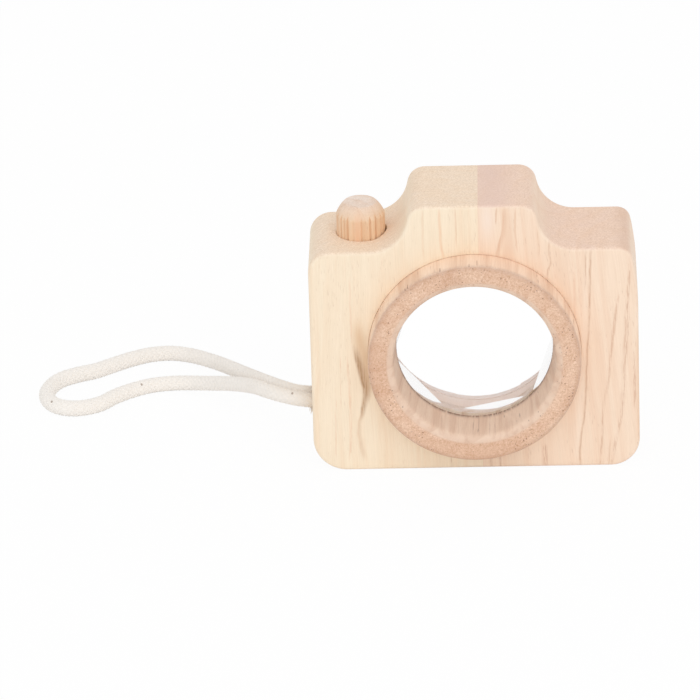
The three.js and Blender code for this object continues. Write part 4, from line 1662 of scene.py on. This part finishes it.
CORD_ROUTE = (
    (-33.0, 1.8, 15.9), (-39.0, 1.8, 15.9), (-44.6, 1.8, 15.9), (-50.0, 2.9, 16.1), (-54.8, 5.9, 16.0),
    (-58.6, 10.4, 15.2), (-61.8, 16.0, 13.7), (-65.9, 23.8, 10.8), (-70.5, 31.1, 7.8), (-75.3, 37.6, 4.9),
    (-80.6, 42.3, 2.9), (-86.4, 44.1, 2.1), (-92.4, 42.9, 2.05), (-98.0, 39.7, 2.05), (-102.2, 36.1, 2.05),
    (-106.7, 31.0, 2.05), (-112.4, 28.6, 2.05), (-117.1, 29.5, 2.05), (-120.4, 32.7, 2.05),
    (-121.8, 38.2, 2.05), (-120.4, 44.4, 2.05), (-117.8, 48.2, 2.05), (-113.7, 51.0, 2.05),
    (-108.7, 53.4, 2.05), (-104.2, 56.9, 2.05), (-99.0, 60.8, 2.05), (-93.4, 63.7, 2.05), (-87.6, 64.5, 2.05),
    (-82.0, 62.4, 2.2), (-76.8, 57.4, 3.0), (-71.8, 49.6, 4.8), (-66.5, 38.7, 7.6), (-61.7, 28.2, 10.5),
    (-57.2, 19.0, 13.0), (-53.3, 12.3, 14.7), (-49.5, 8.0, 15.6), (-44.6, 6.3, 15.9), (-39.0, 6.3, 15.9),
    (-33.0, 6.3, 15.9),
)


@dataclass
class WristCord:
    """The braided cotton loop, with both ends glued into the hole in the left side.

    The glue's stain and a painted warm light, bounced from the body, are a sum of shares that each fall off
    over
    a distance from the mouth: the nearest share is the glue, the farther ones the painted light. The finish
    tells strands apart by their numbers, which start anew for each way, the core and the hairs.
    """

    diameter: float = 4.0
    strands: int = 8
    lay: float = 15.0
    yarn_width: float = 0.7
    yarn_height: float = 0.32
    yarn_sides: int = 6
    weave: float = 0.13
    fullness: float = 2.15
    loop_swell: float = 0.1
    swell_reach: float = 38.0
    core_share: float = 0.96
    step: float = 0.36
    mouth_x: float = -45.0
    # Share and reach of the glue at the mouth, then of painted warm light bounced from the body.
    glue_and_bounce_falls: tuple[Pair, ...] = ((0.42, 1.3), (0.1, 6.0), (0.1, 24.0))
    way_number: float = 10.0
    core_number: float = 20.0
    hair_number: float = 30.0
    loose_fibres: int = 48
    fibre_radius: float = 0.09
    hair_seed: int = 8
    hair_points: int = 6
    hair_sides: int = 4
    hair_angles: Pair = (-165.0, -15.0)
    hair_sink: float = 0.25
    hair_gap: float = 0.15
    hair_spread: float = 0.7
    hair_leans: tuple[Pair, Pair] = ((-0.5, 0.25), (-0.4, 0.4))
    hair_reach: Pair = (0.6, 1.5)
    hair_taper: float = 0.75
    hair_glue: float = 0.75

    def middle(self) -> Floats:
        """The cord's middle line in millimetres, one point for each step."""
        return smooth_line(np.array(CORD_ROUTE), self.step)

    def braid(self, material: Material) -> Piece:
        """Builds the cord: strands that wind both ways round the middle line, over and under, on a core.

        Strand k of one way stands in direction 2 pi (k / strands + s / lay) after length s, the other way's
        in direction 2 pi (k / strands - s / lay). Its distance from the middle swings with the cosine of
        2 pi strands s / lay, outwards for one way where it is inwards for the other, so they pass over and
        under in turn. Each strand is a flattened round.

        Args:
            material: Its finish.

        Returns:
            The piece.
        """
        line = self.middle()
        side, up = carried_frames(line)
        length = np.arange(len(line)) * self.step
        out_by = np.clip(self.mouth_x - line[:, 0], 0, None)
        # Glue at the mouth, then painted warm bounce light from the body farther along the cord.
        glue = sum(share * np.exp(-out_by / reach) for share, reach in self.glue_and_bounce_falls)
        swell = 1 + self.loop_swell * np.exp(-(((length - length[-1] / 2) / self.swell_reach) ** 2))
        base = self.fullness * swell - self.yarn_height - self.weave
        angle = np.linspace(0, 2 * np.pi, self.yarn_sides, endpoint=False)
        cos, sin = np.cos(angle)[None], np.sin(angle)[None]
        marks = {"along": length[:, None], "glue": glue[:, None]}
        shell = Shell()
        for way in (1, -1):
            for k in range(self.strands):
                turn = 2 * np.pi * (k / self.strands + way * length / self.lay)
                swing = way * np.cos(2 * np.pi * self.strands * length / self.lay)
                out = side * np.cos(turn)[:, None] + up * np.sin(turn)[:, None]
                spot = line + out * (base + self.weave * swing)[:, None]
                cross = np.cross(headings(spot), out)
                wide = cross[:, None] * (cos * self.yarn_width)[..., None]
                high = out[:, None] * (sin * self.yarn_height)[..., None]
                shell.add(
                    spot[:, None] + wide + high,
                    (False, True),
                    across=cos * self.yarn_width,
                    strand=np.full((1, 1), k + self.way_number * (way > 0)),
                    rise=(swing[:, None] * 0.5 + sin) / 1.5,
                    **marks,
                )
        ring = side[:, None] * cos[..., None] + up[:, None] * sin[..., None]
        shell.add(
            line[:, None] + ring * (base * self.core_share)[:, None, None],
            (False, True),
            across=np.zeros((1, 1)),
            strand=np.full((1, 1), self.core_number),
            rise=np.full((1, 1), -1.0),
            **marks,
        )
        self.fray(shell)
        return shell.build("braided_cord", material, sharp=75.0)

    def fray(self, shell: Shell) -> None:
        """Adds loose fibres at the mouth: thin hairs that leave the cord's underside and droop.

        A hair starts on the skin of one of the two ends at a chance angle and distance from the mouth. After
        the share t of its length it stands t outwards and half of t squared down, and it tapers with t.

        Args:
            shell: The surface that the hairs join.
        """
        chance = np.random.default_rng(self.hair_seed)
        t = np.linspace(0, 1, self.hair_points)[:, None, None]
        turn = np.linspace(0, 2 * np.pi, self.hair_sides, endpoint=False)[None, :, None]
        ends = np.array([CORD_ROUTE[2], CORD_ROUTE[-3]])
        ahead, one = np.array([1.0, 0.0, 0.0]), np.ones((1, 1))
        for k in range(self.loose_fibres):
            angle = math.radians(chance.uniform(*self.hair_angles))
            out = np.array([0.0, math.cos(angle), math.sin(angle)])
            root = ends[chance.integers(2)] * [0, 1, 1] + out * (self.fullness - self.hair_sink)
            root[0] = self.mouth_x - self.hair_gap - chance.exponential(self.hair_spread)
            lean = out + [*(chance.uniform(*span) for span in self.hair_leans), 0.0]
            reach = chance.uniform(*self.hair_reach)
            line = root + reach * (t * lean - 0.5 * t**2 * [0.0, 0.0, 1.0])
            ring = np.cos(turn) * ahead + np.sin(turn) * np.cross(ahead, out)
            shell.add(
                line + ring * self.fibre_radius * (1 - self.hair_taper * t),
                (False, True),
                along=5 * t[:, :, 0],
                across=0 * one,
                strand=(self.hair_number + k) * one,
                rise=one,
                glue=self.hair_glue * one,
            )

    def make(self) -> None:
        piece = settle(self.braid(Cotton().material()), Body.CAMERA, "wrist_cord")
        line = self.middle() * MM


def posed(name: str, data: Any, right: Floats, up: Floats, back: Floats, place: Floats) -> Piece:
    """Puts a camera or a lamp in the scene.

    Args:
        name: Its name.
        data: The camera or lamp.
        right: Direction to its right.
        up: Its up direction.
        back: Direction against its view.
        place: Its place in metres.

    Returns:
        The object.
    """
    item = bpy.data.objects.new(name, data)
    item.matrix_world = Matrix(np.vstack([np.column_stack([right, up, back, place]), [0, 0, 0, 1]]).tolist())
    bpy.context.scene.collection.objects.link(item)
    return item


@dataclass
class Studio:
    """The camera at the photograph's view, the pale floor and the soft light."""

    azimuth: float = 1.679
    elevation: float = 24.827
    roll: float = -1.758
    distance: float = 1857.3
    shift_right: float = 34.190
    shift_up: float = -0.906
    target: Triple = (0.0, -10.45, 35.0)
    focal_pixels: float = 6772.1
    picture: int = 700
    sensor: float = 36.0
    clip: Pair = (0.05, 50.0)
    sky: float = 0.775
    floor_glow: float = 0.95
    floor_white: float = 0.96
    floor_reach: float = 3000.0
    floor_level: float = -0.05
    floor_points: int = 7
    lamp_power: float = 7.85
    lamp_size: float = 1.6
    lamp_place: Triple = (0.15, -1.25, 1.12)

    def camera(self) -> None:
        """Sets up the camera from its angles round the target, its roll and its distance."""
        a, e, r = (math.radians(v) for v in (self.azimuth, self.elevation, self.roll))
        back = np.array([math.sin(a) * math.cos(e), -math.cos(a) * math.cos(e), math.sin(e)])
        level = np.array([math.cos(a), math.sin(a), 0.0])
        over = np.cross(back, level)
        right = math.cos(r) * level + math.sin(r) * over
        up = -math.sin(r) * level + math.cos(r) * over
        place = np.array(self.target) - self.shift_right * right - self.shift_up * up + self.distance * back
        data = bpy.data.cameras.new("view")
        data.sensor_width = self.sensor
        data.lens = self.focal_pixels * self.sensor / self.picture
        data.clip_start, data.clip_end = self.clip
        bpy.context.scene.camera = posed("view", data, right, up, back, place * MM)

    def seen(self, graph: Graph, direct: float) -> Socket:
        """Share of plain white that a ray sees: all of it by glass and gloss.

        Args:
            graph: The graph of a floor or a sky.
            direct: The share straight from the camera.

        Returns:
            The share, 0 for all other rays.
        """
        path = graph.add("ShaderNodeLightPath").outputs
        mirrored = graph.math("MAXIMUM", path["Is Glossy Ray"], path["Is Transmission Ray"])
        return graph.math("MAXIMUM", graph.times(path["Is Camera Ray"], direct), mirrored)

    def floor(self) -> None:
        """Lays the floor: a near-white level surface that glows where it is seen and keeps the shadow."""
        material = bpy.data.materials.new("pale_floor")
        material.use_nodes = True
        g = Graph(material.node_tree)
        g.tree.nodes.clear()
        matt = g.add("ShaderNodeBsdfDiffuse", (*[self.floor_white] * 3, 1)).outputs[0]
        glow = g.add("ShaderNodeEmission").outputs[0]
        mixed = g.add("ShaderNodeMixShader", self.seen(g, self.floor_glow), matt, glow)
        g.add("ShaderNodeOutputMaterial", mixed.outputs[0])
        count = self.floor_points
        span = np.linspace(-self.floor_reach, self.floor_reach, count)
        x, y = np.meshgrid(span, span, indexing="ij")
        points = np.stack([x, y, np.full_like(x, self.floor_level)], axis=-1).reshape(-1, 3) * MM
        quads = grid_faces(np.arange(count**2).reshape(count, count)).reshape(-1, 4)
        mesh = bpy.data.meshes.new("floor")
        mesh.from_pydata(points.tolist(), [], quads.tolist())
        mesh.materials.append(material)
        floor = bpy.data.objects.new("floor", mesh)
        bpy.context.scene.collection.objects.link(floor)

    def light(self) -> None:
        """Sets the even sky and one large soft lamp in front and above."""
        world = bpy.data.worlds.new("white_room")
        world.use_nodes = True
        bpy.context.scene.world = world
        g = Graph(world.node_tree)
        sky = g.find("BACKGROUND")
        sky.inputs["Color"].default_value = (1, 1, 1, 1)
        g.put(sky.inputs["Strength"], g.math("MULTIPLY_ADD", self.seen(g, 1.0), 1 - self.sky, self.sky))
        data = bpy.data.lights.new("soft_lamp", "AREA")
        data.shape, data.size, data.size_y = "RECTANGLE", self.lamp_size, self.lamp_size
        data.energy = self.lamp_power
        place = np.array(self.lamp_place)
        back = place / np.linalg.norm(place)
        side = np.cross([0, 0, 1], back)
        side = side / np.linalg.norm(side)
        posed("soft_lamp", data, side, np.cross(back, side), back, place)
        bpy.context.scene.view_settings.view_transform = "Standard"


def main() -> None:
    """Builds the view, the cord, the block, the barrel and the button, then the floor and the light."""
    logging.basicConfig(level=logging.INFO, format="%(message)s")
    studio = Studio()
    studio.camera()
    WristCord().make()
    BodyBoards().make()
    TurningBarrel().make()
    ShutterButton().make()
    studio.floor()
    studio.light()


if __name__ == "__main__":
    main()
